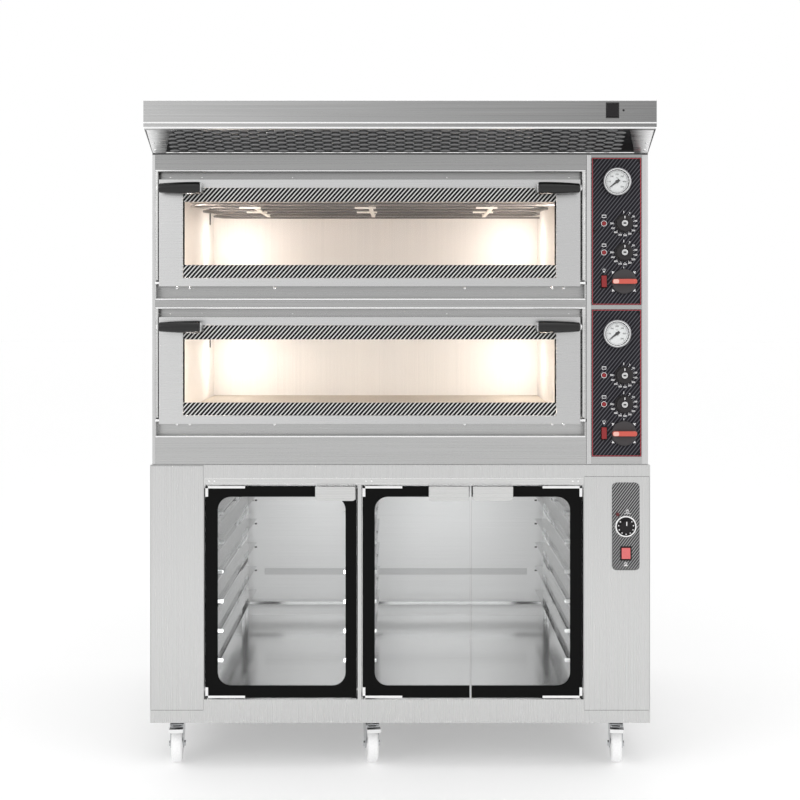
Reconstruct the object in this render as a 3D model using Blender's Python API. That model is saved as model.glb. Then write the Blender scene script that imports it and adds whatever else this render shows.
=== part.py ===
"""An electric deck oven: two baking decks, an extraction hood on top and a
glass-doored proofing cabinet on castors below.

Metres, +Z up. The origin is on the floor, under the middle of the oven. The front faces -Y.
"""

import math

import bmesh
import bpy
from mathutils import Matrix, Vector

# ---- Driving dimensions ----------------------------------------------------------------

FIT = 0.0003  # clearance between two pieces that touch
WELD = 0.001  # how far shapes that make one piece run into each other
SHEET = 0.0015  # wall of the folded steel panels

# Overall
OVEN_WIDTH = 1.370
CABINET_WIDTH = 1.380
HOOD_FRONT_Y = -0.550
OVEN_FRONT_Y = -0.429
CABINET_FRONT_Y = -0.434
BACK_Y = 0.5534
CASTOR_HEIGHT = 0.130
CABINET_HEIGHT = 0.712
OVEN_HEIGHT = 0.861
HOOD_HEIGHT = 0.128

CABINET_TOP = CASTOR_HEIGHT + CABINET_HEIGHT
OVEN_TOP = CABINET_TOP + OVEN_HEIGHT
HOOD_TOP = OVEN_TOP + HOOD_HEIGHT

# Baking decks
DECK_NAMES = ("lower", "upper")
DECK_PITCH = 0.3795
RECESS_RISE = 0.080  # cabinet top to the lower door recess
RECESS_HEIGHT = 0.351
RECESS_LEFT_X = -0.674
RECESS_RIGHT_X = 0.5095
RECESS_DEPTH = 0.030
DOOR_SIDE_GAP_LEFT = 0.0085
DOOR_SIDE_GAP_RIGHT = 0.0125
DOOR_RISE = 0.0335  # recess floor to the door's lower edge
DOOR_HEIGHT = 0.2945
DOOR_THICKNESS = 0.032
DOOR_PROUD = 0.007  # door face in front of the fascia
DOOR_SIDE_RAIL = 0.066
DOOR_CROSS_RAIL = 0.0225
PANE_THICKNESS = 0.006
PANE_SETBACK = 0.0015
DOOR_PIN_RADIUS = 0.004
DOOR_PIN_SETBACK = 0.006  # hinge pin behind the door's face
DOOR_PIN_RISE = 0.009  # hinge pin above the door's lower edge
GRIP_LENGTH = 0.114
GRIP_INSET = 0.006  # grip's outer end in from the door's side
GRIP_OUTER_RADIUS = 0.0125
GRIP_INNER_RADIUS = 0.0170
GRIP_STANDOFF = 0.034  # grip axis in front of the door's face
GRIP_DROP = 0.0265  # grip axis below the door's top
GRIP_PLATE = 0.003

# Baking chambers
CHAMBER_WIDTH = 1.080
CHAMBER_CENTRE_X = -0.083
CHAMBER_DEPTH = 0.700
CHAMBER_HEIGHT = 0.225  # stone to ceiling
CHAMBER_WALL = 0.003
STONE_RISE = 0.0600  # recess floor to the stone's top
STONE_THICKNESS = 0.018
STONE_LEDGE_HEIGHT = 0.022
STONE_LEDGE_WIDTH = 0.020
ELEMENT_RADIUS = 0.004
ELEMENT_RUNS = 6
ELEMENT_BEND_STEPS = 4
ELEMENT_PITCH = 0.110
ELEMENT_END_MARGIN = 0.075
ELEMENT_FRONT_MARGIN = 0.080
HANGER_WIDTH = 0.012
HANGER_DEPTH = 0.012
HANGER_OFFSETS = (-0.340, -0.004, 0.350)  # from the chamber's middle

# Control panels of the decks
PANEL_LEFT_X = 0.529
PANEL_WIDTH = 0.1375
PANEL_HEIGHT = 0.407
PANEL_RISE = 0.0225  # cabinet top to the lower panel
PANEL_PITCH = 0.419
PANEL_THICKNESS = 0.003
GAUGE_X = 0.598
GAUGE_DROP = 0.067  # below the panel's top, as are the next four
KNOB_DROPS = (0.182, 0.262)
SWITCH_DROP = 0.342
KNOB_X = 0.6175
ROCKER_X = 0.563
GAUGE_RADIUS = 0.038
GAUGE_BEZEL = 0.006
GAUGE_DEPTH = 0.012
GAUGE_DIAL_DEPTH = 0.007
NEEDLE_LENGTH = 0.026
NEEDLE_TAIL = 0.009
NEEDLE_WIDTH = 0.002
NEEDLE_THICKNESS = 0.001
NEEDLE_HUB_RADIUS = 0.0035
NEEDLE_REST_ANGLE = 218.0  # degrees from +X, counted the way +Z lies
KNOB_RADIUS = 0.025
KNOB_DEPTH = 0.018
SPINDLE_RADIUS = 0.003
SPINDLE_LENGTH = 0.0025
SWITCH_RADIUS = 0.0345
SWITCH_DEPTH = 0.010
SWITCH_BAR_WIDTH = 0.068
SWITCH_BAR_HEIGHT = 0.014
SWITCH_BAR_DEPTH = 0.012
DECK_ROCKER = (0.014, 0.032)
ROCKER_THICKNESS = 0.009
ROCKER_TILT = 6.0
ROCKER_CLEARANCE = 0.0010  # above and below a rocker, where it swings

# Extraction hood
HOOD_SLOPE_RISE = 0.056  # oven top to the lower edge of the hood's front band
HOOD_LIP = 0.015
FILTER_THICKNESS = 0.004
FILTER_COLUMNS = 9
FILTER_ROWS = 3
FILTER_SLOT = (0.110, 0.016)
COLLAR_RADIUS = 0.0775
COLLAR_WALL = 0.0030
COLLAR_HEIGHT = 0.050
COLLAR_Y = 0.300
MOTOR_RADIUS = 0.050
MOTOR_HEIGHT = 0.014
FAN_SHAFT_RADIUS = 0.008
FAN_SHAFT_HEIGHT = 0.034
FAN_RADIUS = 0.110
FAN_HEIGHT = 0.070
FAN_HUB_RADIUS = 0.020
FAN_BLADES = 8
FAN_PLATE = 0.002
HOOD_ROCKER = (0.031, 0.036)
HOOD_ROCKER_X = 0.567
HOOD_ROCKER_RISE = 0.100  # above the oven's top
HOOD_ROCKER_SET = 0.003  # its middle behind the face of the hood's band

# Proofing cabinet
DOORWAY_LEFT_X = -0.541
DOORWAY_RIGHT_X = 0.506
POST_X = -0.112
POST_WIDTH = 0.010
POST_DEPTH = 0.030
FLOOR_Z = 0.188
BOTTOM_RAIL_TOP = 0.195
HEADER_BOTTOM = 0.787
COVER_BOTTOM = 0.165
LEFT_COVER_TOP = 0.840
RIGHT_COVER_TOP = 0.810
COVER_FLANGE = 0.015
GLASS = 0.006
GLASS_SETBACK = 0.003
GLASS_GAP = 0.003  # door edge to the frame round it
GLASS_MEETING_GAP = 0.005
GLASS_MEETING_X = 0.1945
STRAP_LENGTH = 0.110
STRAP_HEIGHT = 0.007
STRAP_RISER = 0.030
STRAP_THICKNESS = 0.010
GLASS_PIN_RADIUS = 0.0025
GLASS_PIN_HEIGHT = 0.009
GLASS_PIN_INSET = 0.006
PULL_WIDTH = 0.110
PULL_HEIGHT = 0.038
PULL_REACH = 0.024
PULL_SHEET = 0.0015
PULL_INSET = 0.003
RACK_LEVELS = 6
RACK_FIRST_Z = 0.289
RACK_PITCH = 0.0826
RUNNER_REACH = 0.028
RUNNER_WEB = 0.024
UPRIGHT = 0.010
UPRIGHT_DEPTH = 0.024
RACK_FRONT_Y = -0.385
RACK_BACK_Y = 0.500
RACK_TOP = 0.770
HEATER_SIZE = (0.140, 0.360, 0.060)
HEATER_WALL = 0.0015
HEATER_ROD_RADIUS = 0.005
VENT_SLOT = (0.300, 0.012)
VENT_COUNT = 3

# Proofer's control panel
PROOFER_PANEL_X = 0.6226
PROOFER_PANEL_Z = 0.6726
PROOFER_PANEL_SIZE = (0.076, 0.242)
PROOFER_PANEL_CORNER = 0.013
PROOFER_PANEL_THICKNESS = 0.002
PROOFER_KNOB_RADIUS = 0.0255
PROOFER_KNOB_DEPTH = 0.014
PROOFER_ROCKER = (0.024, 0.030)
PROOFER_ROCKER_Z = 0.5985

# Castors
WHEEL_RADIUS = 0.050
WHEEL_WIDTH = 0.030
FORK_HALF_GAP = 0.0165  # wheel's middle to a cheek's inner face
CASTOR_TRAIL = 0.032
AXLE_RADIUS = 0.005
FORK_SHEET = 0.0025
MOUNT_PLATE = 0.004
MOUNT_PLATE_SIZE = (0.080, 0.090)
KINGPIN_RADIUS = 0.008
KINGPIN_LENGTH = 0.016
HEAD_RADIUS = 0.030
HEAD_HEIGHT = 0.014
CROWN_HEIGHT = 0.003
FRONT_CASTOR_Y = -0.332
REAR_CASTOR_Y = 0.450
# name, x, y, turn in degrees about +Z, whether it has a brake lever
CASTORS = (
    ("front_left", -0.630, FRONT_CASTOR_Y, 6.0, True),
    ("front_middle", -0.085, FRONT_CASTOR_Y, 8.0, True),
    ("front_right", 0.610, FRONT_CASTOR_Y, -6.0, True),
    ("rear_left", -0.630, REAR_CASTOR_Y, 0.0, False),
    ("rear_right", 0.610, REAR_CASTOR_Y, 0.0, False),
)
LEVER_WIDTH = 0.038
LEVER_REACH = 0.036
LEVER_PIVOT_AHEAD = 0.024  # of the axle
LEVER_PIVOT_Z = 0.1045
LEVER_BARREL_RADIUS = 0.003

# ---- Places worked out from them -------------------------------------------------------

DOOR_LEFT_X = RECESS_LEFT_X + DOOR_SIDE_GAP_LEFT
DOOR_RIGHT_X = RECESS_RIGHT_X - DOOR_SIDE_GAP_RIGHT
DOOR_FACE_Y = OVEN_FRONT_Y - DOOR_PROUD
RECESS_BACK_Y = OVEN_FRONT_Y + RECESS_DEPTH
CHAMBER_LEFT_X = CHAMBER_CENTRE_X - CHAMBER_WIDTH / 2
CHAMBER_RIGHT_X = CHAMBER_CENTRE_X + CHAMBER_WIDTH / 2
LINER_FRONT_Y = RECESS_BACK_Y + SHEET + FIT
GLASS_FACE_Y = CABINET_FRONT_Y + GLASS_SETBACK
PANEL_BACK_Y = OVEN_FRONT_Y - FIT
PANEL_FACE_Y = PANEL_BACK_Y - PANEL_THICKNESS


# ---- Materials -------------------------------------------------------------------------


def material(name, color, roughness, metallic=0.0, alpha=1.0):
    made = bpy.data.materials.new(name)
    made.use_nodes = True
    shader = made.node_tree.nodes["Principled BSDF"]
    shader.inputs["Base Color"].default_value = (*color, 1.0)
    shader.inputs["Roughness"].default_value = roughness
    shader.inputs["Metallic"].default_value = metallic
    shader.inputs["Alpha"].default_value = alpha
    made.diffuse_color = (*color, alpha)
    return made


def make_materials():
    return {
        "steel": material("brushed_steel", (0.62, 0.62, 0.61), 0.35, 1.0),
        "dark_steel": material("dark_steel", (0.30, 0.30, 0.31), 0.45, 1.0),
        "zinc": material("zinc_plate", (0.72, 0.73, 0.74), 0.25, 1.0),
        "liner": material("chamber_sheet", (0.60, 0.55, 0.48), 0.40, 1.0),
        "stone": material("baking_stone", (0.50, 0.46, 0.40), 0.85),
        "element": material("element_sheath", (0.22, 0.20, 0.19), 0.50, 0.8),
        "panel": material("panel_print", (0.030, 0.030, 0.034), 0.40),
        "grip": material("black_grip", (0.012, 0.012, 0.012), 0.35),
        "knob": material("knob_plastic", (0.060, 0.060, 0.064), 0.45),
        "red": material("red_plastic", (0.62, 0.05, 0.04), 0.35),
        "nylon": material("white_nylon", (0.86, 0.86, 0.85), 0.45),
        "glass": material("clear_glass", (0.85, 0.90, 0.90), 0.05, 0.0, 0.35),
    }


# ---- Shapes ----------------------------------------------------------------------------


def place(name, bm, look=None, origin=(0.0, 0.0, 0.0), parent=None):
    """Turns a bmesh drawn in its parent's space into an object whose origin is at `origin`."""
    bmesh.ops.recalc_face_normals(bm, faces=bm.faces)
    bmesh.ops.translate(bm, verts=bm.verts, vec=-Vector(origin))
    mesh = bpy.data.meshes.new(name)
    bm.to_mesh(mesh)
    bm.free()
    if look:
        mesh.materials.append(look)
    made = bpy.data.objects.new(name, mesh)
    made.location = origin
    made.parent = parent
    if look:
        bpy.context.scene.collection.objects.link(made)
    return made


def block(name, low, high, look=None, origin=None, parent=None):
    """A box between two corners."""
    low, high = Vector(low), Vector(high)
    middle = (low + high) / 2
    bm = bmesh.new()
    bmesh.ops.create_cube(bm, size=1.0)
    bmesh.ops.scale(bm, verts=bm.verts, vec=high - low)
    bmesh.ops.translate(bm, verts=bm.verts, vec=middle)
    return place(name, bm, look, middle if origin is None else origin, parent)


def prism(name, outline, x_low, x_high, look=None, origin=(0.0, 0.0, 0.0), parent=None):
    """A side outline of (y, z) points, extruded along X."""
    bm = bmesh.new()
    face = bm.faces.new([bm.verts.new((x_low, y, z)) for y, z in outline])
    grown = bmesh.ops.extrude_face_region(bm, geom=[face])
    moved = [item for item in grown["geom"] if isinstance(item, bmesh.types.BMVert)]
    bmesh.ops.translate(bm, verts=moved, vec=(x_high - x_low, 0.0, 0.0))
    return place(name, bm, look, origin, parent)


def turned(name, profile, base, axis, look=None, steps=24, parent=None):
    """A round piece: (radius, height) points spun about `axis`, standing on the point `base`."""
    bm = bmesh.new()
    points = [bm.verts.new((radius, 0.0, height)) for radius, height in profile]
    for first, second in zip(points, points[1:]):
        bm.edges.new((first, second))
    if profile[0][0] > 0.0:
        bm.edges.new((points[-1], points[0]))
    bmesh.ops.spin(
        bm,
        geom=bm.verts[:] + bm.edges[:],
        cent=(0.0, 0.0, 0.0),
        axis=(0.0, 0.0, 1.0),
        angle=math.tau,
        steps=steps,
        use_merge=True,
        use_duplicate=False,
    )
    bmesh.ops.remove_doubles(bm, verts=bm.verts, dist=1e-6)
    turn = Vector((0.0, 0.0, 1.0)).rotation_difference(Vector(axis)).to_matrix().to_4x4()
    bmesh.ops.transform(bm, matrix=Matrix.Translation(base) @ turn, verts=bm.verts)
    made = place(name, bm, look, base, parent)
    made.data.shade_smooth()
    made.data.set_sharp_from_angle(angle=math.radians(40.0))
    return made


def rod(name, radius, length, base, axis, look=None, steps=16, parent=None):
    """A plain round bar from `base`, along `axis`."""
    return turned(name, [(0.0, 0.0), (radius, 0.0), (radius, length), (0.0, length)], base, axis,
                  look, steps, parent)


def combine(target, tools, operation):
    """Adds the tools to the target, or cuts them from it, with one Boolean."""
    group = bpy.data.collections.new(f"{target.name}_{operation.lower()}")
    bpy.context.scene.collection.children.link(group)
    for tool in tools:
        group.objects.link(tool)
        tool.hide_render = True
        tool.display_type = "WIRE"
    step = target.modifiers.new(operation.title(), "BOOLEAN")
    step.operation = operation
    step.operand_type = "COLLECTION"
    step.collection = group
    step.solver = "EXACT"
    return target


def fuse(target, *tools):
    return combine(target, tools, "UNION")


def cut(target, *tools):
    return combine(target, tools, "DIFFERENCE")


def on_axis(target, pivot):
    """Moves an object's origin to its joint's axis and leaves its shape where it is."""
    shift = Vector(pivot) - target.location
    target.data.transform(Matrix.Translation(-shift))
    target.location = pivot
    return target


# ---- Proofing cabinet ------------------------------------------------------------------


def hinge_places():
    """Each glass door as name, left edge, right edge and the side that its hinge is on."""
    post_left = POST_X - POST_WIDTH / 2
    post_right = POST_X + POST_WIDTH / 2
    meeting = GLASS_MEETING_GAP / 2
    return (
        ("left", DOORWAY_LEFT_X + GLASS_GAP, post_left - GLASS_GAP, -1),
        ("middle", post_right + GLASS_GAP, GLASS_MEETING_X - meeting, -1),
        ("right", GLASS_MEETING_X + meeting, DOORWAY_RIGHT_X - GLASS_GAP, 1),
    )


def glass_pivot(left, right, side):
    x = left + GLASS_PIN_INSET if side < 0 else right - GLASS_PIN_INSET
    return x, GLASS_FACE_Y + GLASS / 2


def cabinet_walls():
    half = CABINET_WIDTH / 2
    front, bottom, top = CABINET_FRONT_Y, CASTOR_HEIGHT, CABINET_TOP
    inner = half - SHEET
    rail_back = front + POST_DEPTH
    sheets = (
        ("left_side", (-half, front, bottom), (-inner, BACK_Y, top)),
        ("right_side", (inner, front, bottom), (half, BACK_Y, top)),
        ("back", (-half, BACK_Y - SHEET, bottom), (half, BACK_Y, top)),
        ("roof", (-half, front, top - SHEET), (half, BACK_Y, top)),
        ("bottom_rail", (-half, front, bottom), (half, front + SHEET, COVER_BOTTOM - FIT)),
        ("door_sill", (DOORWAY_LEFT_X - SHEET, front, bottom),
         (DOORWAY_RIGHT_X + SHEET, front + SHEET, BOTTOM_RAIL_TOP)),
        ("sill_fold", (DOORWAY_LEFT_X - SHEET, front, BOTTOM_RAIL_TOP - SHEET),
         (DOORWAY_RIGHT_X + SHEET, rail_back, BOTTOM_RAIL_TOP)),
        ("header", (DOORWAY_LEFT_X - SHEET, front, HEADER_BOTTOM),
         (DOORWAY_RIGHT_X + SHEET, front + SHEET, top)),
        ("header_fold", (DOORWAY_LEFT_X - SHEET, front, HEADER_BOTTOM),
         (DOORWAY_RIGHT_X + SHEET, rail_back, HEADER_BOTTOM + SHEET)),
        ("right_header", (DOORWAY_RIGHT_X, front, RIGHT_COVER_TOP + FIT), (half, front + SHEET, top)),
        ("left_wall", (DOORWAY_LEFT_X - SHEET, front, bottom), (DOORWAY_LEFT_X, BACK_Y, top)),
        ("right_wall", (DOORWAY_RIGHT_X, front, bottom), (DOORWAY_RIGHT_X + SHEET, BACK_Y, top)),
        ("post", (POST_X - POST_WIDTH / 2, front, BOTTOM_RAIL_TOP - SHEET),
         (POST_X + POST_WIDTH / 2, rail_back, HEADER_BOTTOM + SHEET)),
        ("divider", (POST_X - SHEET / 2, front + SHEET, bottom), (POST_X + SHEET / 2, BACK_Y, top)),
    )
    return [block(f"cabinet_{name}", low, high) for name, low, high in sheets]


def castor_seats():
    """The plate and kingpin that each castor turns on, and the channels that carry them."""
    made = []
    wide, long = MOUNT_PLATE_SIZE
    seat_z = CASTOR_HEIGHT - MOUNT_PLATE
    for name, x, y, _, _ in CASTORS:
        made.append(block(f"{name}_seat", (x - wide / 2, y - long / 2, seat_z),
                          (x + wide / 2, y + long / 2, CASTOR_HEIGHT + SHEET)))
        made.append(rod(f"{name}_kingpin", KINGPIN_RADIUS, KINGPIN_LENGTH + SHEET,
                        (x, y, seat_z - KINGPIN_LENGTH), (0, 0, 1)))
    for x in sorted({castor[1] for castor in CASTORS}):
        made.append(block("castor_channel", (x - wide / 2, CABINET_FRONT_Y, CASTOR_HEIGHT),
                          (x + wide / 2, BACK_Y, CASTOR_HEIGHT + SHEET)))
    return made


def glass_pins():
    """The pins in the sill and in the header that the glass doors turn on."""
    made = []
    for name, left, right, side in hinge_places():
        x, y = glass_pivot(left, right, side)
        made.append(rod(f"{name}_lower_pin", GLASS_PIN_RADIUS, GLASS_PIN_HEIGHT + SHEET,
                        (x, y, BOTTOM_RAIL_TOP - SHEET), (0, 0, 1), steps=12))
        made.append(rod(f"{name}_upper_pin", GLASS_PIN_RADIUS, GLASS_PIN_HEIGHT + SHEET,
                        (x, y, HEADER_BOTTOM + SHEET), (0, 0, -1), steps=12))
    return made


def vent_cutters():
    """Slots in the wall between the right bay and the heater behind the right cover."""
    long, tall = VENT_SLOT
    made = []
    for index in range(VENT_COUNT):
        z = FLOOR_Z + 0.080 + index * 2.5 * tall
        made.append(block("vent", (DOORWAY_RIGHT_X - 0.01, -long / 2, z),
                          (DOORWAY_RIGHT_X + SHEET + 0.01, long / 2, z + tall)))
    return made


def make_cabinet(look):
    half = CABINET_WIDTH / 2
    floor_front = CABINET_FRONT_Y + COVER_FLANGE + FIT
    floor = block("base_cabinet", (-half, floor_front, FLOOR_Z - SHEET), (half, BACK_Y, FLOOR_Z), look["steel"])
    fuse(floor, *cabinet_walls(), *castor_seats(), *glass_pins())
    cut(floor, *vent_cutters())


def make_cover(name, left, right, top, look, holes=()):
    """A front cover: a sheet with its two upright edges folded back into the cabinet."""
    front = CABINET_FRONT_Y
    low, high = COVER_BOTTOM, top
    cover = block(name, (left, front, low), (right, front + SHEET, high), look)
    fuse(cover,
         block(f"{name}_left_fold", (left, front, low), (left + SHEET, front + COVER_FLANGE, high)),
         block(f"{name}_right_fold", (right - SHEET, front, low), (right, front + COVER_FLANGE, high)))
    if holes:
        cut(cover, *holes)


def make_covers(look):
    inner = CABINET_WIDTH / 2 - SHEET - FIT
    make_cover("left_front_cover", -inner, DOORWAY_LEFT_X - SHEET - FIT, LEFT_COVER_TOP - FIT,
               look["steel"])
    wide, tall = PROOFER_ROCKER
    opening = block("proofer_rocker_hole",
                    (PROOFER_PANEL_X - wide / 2 - 0.003, CABINET_FRONT_Y - 0.01,
                     PROOFER_ROCKER_Z - tall / 2 - 0.003),
                    (PROOFER_PANEL_X + wide / 2 + 0.003, CABINET_FRONT_Y + 0.01,
                     PROOFER_ROCKER_Z + tall / 2 + 0.003))
    make_cover("right_front_cover", DOORWAY_RIGHT_X + SHEET + FIT, inner, RIGHT_COVER_TOP,
               look["steel"], [opening])


def ladder(name, wall_x, inward):
    """One side of a tray rack: two uprights and an angle runner for each level."""
    made = []
    for end, y in (("front", RACK_FRONT_Y), ("rear", RACK_BACK_Y - UPRIGHT_DEPTH)):
        a, b = sorted((wall_x, wall_x + inward * UPRIGHT))
        made.append(block(f"{name}_{end}_upright", (a, y, FLOOR_Z + FIT), (b, y + UPRIGHT_DEPTH, RACK_TOP)))
    web_x = wall_x + inward * (UPRIGHT - SHEET / 2)
    for level in range(RACK_LEVELS):
        z = RACK_FIRST_Z + level * RACK_PITCH
        a, b = sorted((web_x, web_x + inward * SHEET))
        made.append(block(f"{name}_web", (a, RACK_FRONT_Y, z - SHEET), (b, RACK_BACK_Y, z - SHEET + RUNNER_WEB)))
        a, b = sorted((web_x, web_x + inward * RUNNER_REACH))
        made.append(block(f"{name}_runner", (a, RACK_FRONT_Y, z - SHEET), (b, RACK_BACK_Y, z)))
    return made


def make_rack(name, left, right, look):
    """A tray rack that stands in one bay: two ladders joined by bars across the back."""
    low_bar = block(name, (left, RACK_BACK_Y - UPRIGHT, RACK_FIRST_Z - 0.050),
                    (right, RACK_BACK_Y, RACK_FIRST_Z - 0.050 + UPRIGHT), look)
    top_bar = block(f"{name}_top_bar", (left, RACK_BACK_Y - UPRIGHT, RACK_TOP - UPRIGHT),
                    (right, RACK_BACK_Y, RACK_TOP))
    fuse(low_bar, top_bar, *ladder(f"{name}_left", left, 1), *ladder(f"{name}_right", right, -1))


def make_racks(look):
    make_rack("left_tray_rack", DOORWAY_LEFT_X + FIT, POST_X - SHEET / 2 - FIT, look["steel"])
    make_rack("right_tray_rack", POST_X + SHEET / 2 + FIT, DOORWAY_RIGHT_X - FIT, look["steel"])


def make_proofer_heater(look):
    """A water pan with an immersion rod across it, on the floor behind the right cover."""
    wide, long, tall = HEATER_SIZE
    x = (DOORWAY_RIGHT_X + CABINET_WIDTH / 2) / 2
    low = Vector((x - wide / 2, -long / 2, FLOOR_Z + FIT))
    high = low + Vector((wide, long, tall))
    wall = Vector((HEATER_WALL, HEATER_WALL, HEATER_WALL))
    pan = block("proofer_heater", low, high, look["steel"])
    cut(pan, block("heater_hollow", low + wall, (high.x - HEATER_WALL, high.y - HEATER_WALL, high.z + 0.01)))
    fuse(pan, rod("heater_rod", HEATER_ROD_RADIUS, long, (x, -long / 2, FLOOR_Z + tall / 2), (0, 1, 0),
                  steps=12))


def make_glass_door(name, left, right, side, look):
    """A glass leaf with the corner straps that its pins turn in."""
    x, y = glass_pivot(left, right, side)
    low, high = BOTTOM_RAIL_TOP + GLASS_GAP, HEADER_BOTTOM - GLASS_GAP
    leaf = block(f"{name}_glass_door", (left, GLASS_FACE_Y, low), (right, GLASS_FACE_Y + GLASS, high),
                 look["glass"], origin=(x, y, low))
    straps, bores = [], []
    back, front = y - STRAP_THICKNESS / 2, y + STRAP_THICKNESS / 2
    edge = left if side < 0 else right
    reach = edge - side * STRAP_LENGTH
    riser = edge - side * 2 * GLASS_PIN_INSET
    for corner, z, upward in (("lower", low, 1), ("upper", high, -1)):
        a, b = sorted((z, z + upward * STRAP_HEIGHT))
        straps.append(block(f"{name}_{corner}_strap", (min(edge, reach), back, a), (max(edge, reach), front, b)))
        a, b = sorted((z, z + upward * STRAP_RISER))
        straps.append(block(f"{name}_{corner}_riser", (min(edge, riser), back, a), (max(edge, riser), front, b)))
        bores.append(rod(f"{name}_{corner}_bore", GLASS_PIN_RADIUS + FIT, 0.012, (x, y, z - upward * 0.005),
                         (0, 0, upward), steps=12))
    fuse(leaf, *straps)
    cut(leaf, *bores)


def make_pull(name, left, right, side, look):
    """A pull folded from sheet: a flat against the glass, out over the top, and down in front."""
    low, top = HEADER_BOTTOM - GLASS_GAP - PULL_HEIGHT, HEADER_BOTTOM - GLASS_GAP
    back = GLASS_FACE_Y - FIT
    front = back - PULL_REACH
    outline = [
        (back, low), (back, top), (front, top), (front, low),
        (front + PULL_SHEET, low), (front + PULL_SHEET, top - PULL_SHEET),
        (back - PULL_SHEET, top - PULL_SHEET), (back - PULL_SHEET, low),
    ]
    start = right - PULL_INSET - PULL_WIDTH if side < 0 else left + PULL_INSET
    x, y = glass_pivot(left, right, side)
    prism(f"{name}_door_pull", outline, start, start + PULL_WIDTH, look["zinc"], origin=(x, y, low))


def make_glass_doors(look):
    for name, left, right, side in hinge_places():
        make_glass_door(name, left, right, side, look)
        make_pull(name, left, right, side, look)


# ---- Castors ---------------------------------------------------------------------------


def castor_wheel(name, look, parent):
    """A nylon wheel: flat tread, eased edges, a dished side and a raised hub."""
    half, bore = WHEEL_WIDTH / 2, AXLE_RADIUS + FIT
    hub = FORK_HALF_GAP - FIT
    profile = [
        (bore, -hub), (0.014, -hub), (0.016, -half + 0.005), (0.038, -half), (WHEEL_RADIUS - 0.003, -half),
        (WHEEL_RADIUS, -half + 0.004), (WHEEL_RADIUS, half - 0.004), (WHEEL_RADIUS - 0.003, half),
        (0.038, half), (0.016, half - 0.005), (0.014, hub), (bore, hub),
    ]
    return turned(f"{name}_wheel", profile, (0.0, -CASTOR_TRAIL, WHEEL_RADIUS), (1, 0, 0), look["nylon"],
                  steps=24, parent=parent)


def fork_outline():
    """Side view of the fork's cheek, wide under the bearing and narrow at the axle."""
    top = CASTOR_HEIGHT - MOUNT_PLATE - FIT - HEAD_HEIGHT
    axle = -CASTOR_TRAIL
    nose = [(axle + 0.013 * math.sin(a), WHEEL_RADIUS - 0.013 * math.cos(a))
            for a in (math.radians(angle) for angle in (-75, -40, 0, 40, 75))]
    return [(0.028, top), (axle - 0.030, top), *nose]


def make_fork(name, look, parent):
    """Bearing head, crown, two cheeks and the axle bolt between them."""
    head_low = CASTOR_HEIGHT - MOUNT_PLATE - FIT - HEAD_HEIGHT
    cheek = FORK_HALF_GAP
    fork = turned(f"{name}_fork",
                  [(KINGPIN_RADIUS + FIT, 0.0), (HEAD_RADIUS, 0.0), (HEAD_RADIUS, HEAD_HEIGHT - 0.004),
                   (HEAD_RADIUS - 0.004, HEAD_HEIGHT), (KINGPIN_RADIUS + FIT, HEAD_HEIGHT)],
                  (0.0, 0.0, head_low), (0, 0, 1), look["zinc"], steps=16, parent=parent)
    crown = block(f"{name}_crown", (-cheek - FORK_SHEET, -CASTOR_TRAIL - 0.030, head_low - CROWN_HEIGHT),
                  (cheek + FORK_SHEET, 0.028, head_low + WELD), parent=parent)
    bore = rod(f"{name}_bore", KINGPIN_RADIUS + FIT, 0.03, (0.0, 0.0, head_low - 0.01), (0, 0, 1),
               parent=parent)
    cheeks = [prism(f"{name}_left_cheek", fork_outline(), -cheek - FORK_SHEET, -cheek, parent=parent),
              prism(f"{name}_right_cheek", fork_outline(), cheek, cheek + FORK_SHEET, parent=parent)]
    axle_at = Vector((0.0, -CASTOR_TRAIL, WHEEL_RADIUS))
    end = cheek + FORK_SHEET
    axle = rod(f"{name}_axle", AXLE_RADIUS, 2 * end, axle_at - Vector((end, 0, 0)), (1, 0, 0), parent=parent)
    heads = [rod(f"{name}_bolt_head", 0.008, 0.005, axle_at + Vector((side * (end - 0.001), 0, 0)),
                 (side, 0, 0), steps=6, parent=parent) for side in (-1, 1)]
    fuse(fork, crown, *cheeks, axle, *heads)
    cut(fork, bore)


def make_lever(name, look, parent):
    """The brake lever: a barrel between the cheeks, an arm and a pedal with its lip turned down."""
    y = -CASTOR_TRAIL - LEVER_PIVOT_AHEAD
    z = LEVER_PIVOT_Z
    half = FORK_HALF_GAP - FIT
    tip = y - LEVER_REACH
    lever = rod(f"{name}_brake_lever", LEVER_BARREL_RADIUS, 2 * half, (-half, y, z), (1, 0, 0),
                look["zinc"], steps=12, parent=parent)
    on_axis(lever, (0.0, y, z))
    arm = block(f"{name}_lever_arm", (-0.011, tip, z - 0.0015), (0.011, y, z + 0.0015), parent=parent)
    pedal = block(f"{name}_pedal", (-LEVER_WIDTH / 2, tip, z + 0.001),
                  (LEVER_WIDTH / 2, tip + 0.024, z + 0.004), parent=parent)
    lip = block(f"{name}_pedal_lip", (-LEVER_WIDTH / 2, tip - 0.002, z - 0.006),
                (LEVER_WIDTH / 2, tip + 0.001, z + 0.004), parent=parent)
    fuse(lever, arm, pedal, lip)


def make_castors(look):
    for name, x, y, turn, brake in CASTORS:
        swivel = bpy.data.objects.new(f"{name}_swivel", None)
        swivel.location = (x, y, 0.0)
        swivel.rotation_euler = (0.0, 0.0, math.radians(turn))
        bpy.context.scene.collection.objects.link(swivel)
        make_fork(f"{name}_castor", look, swivel)
        castor_wheel(f"{name}_castor", look, swivel)
        if brake:
            make_lever(name, look, swivel)


# ---- Controls --------------------------------------------------------------------------


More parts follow.
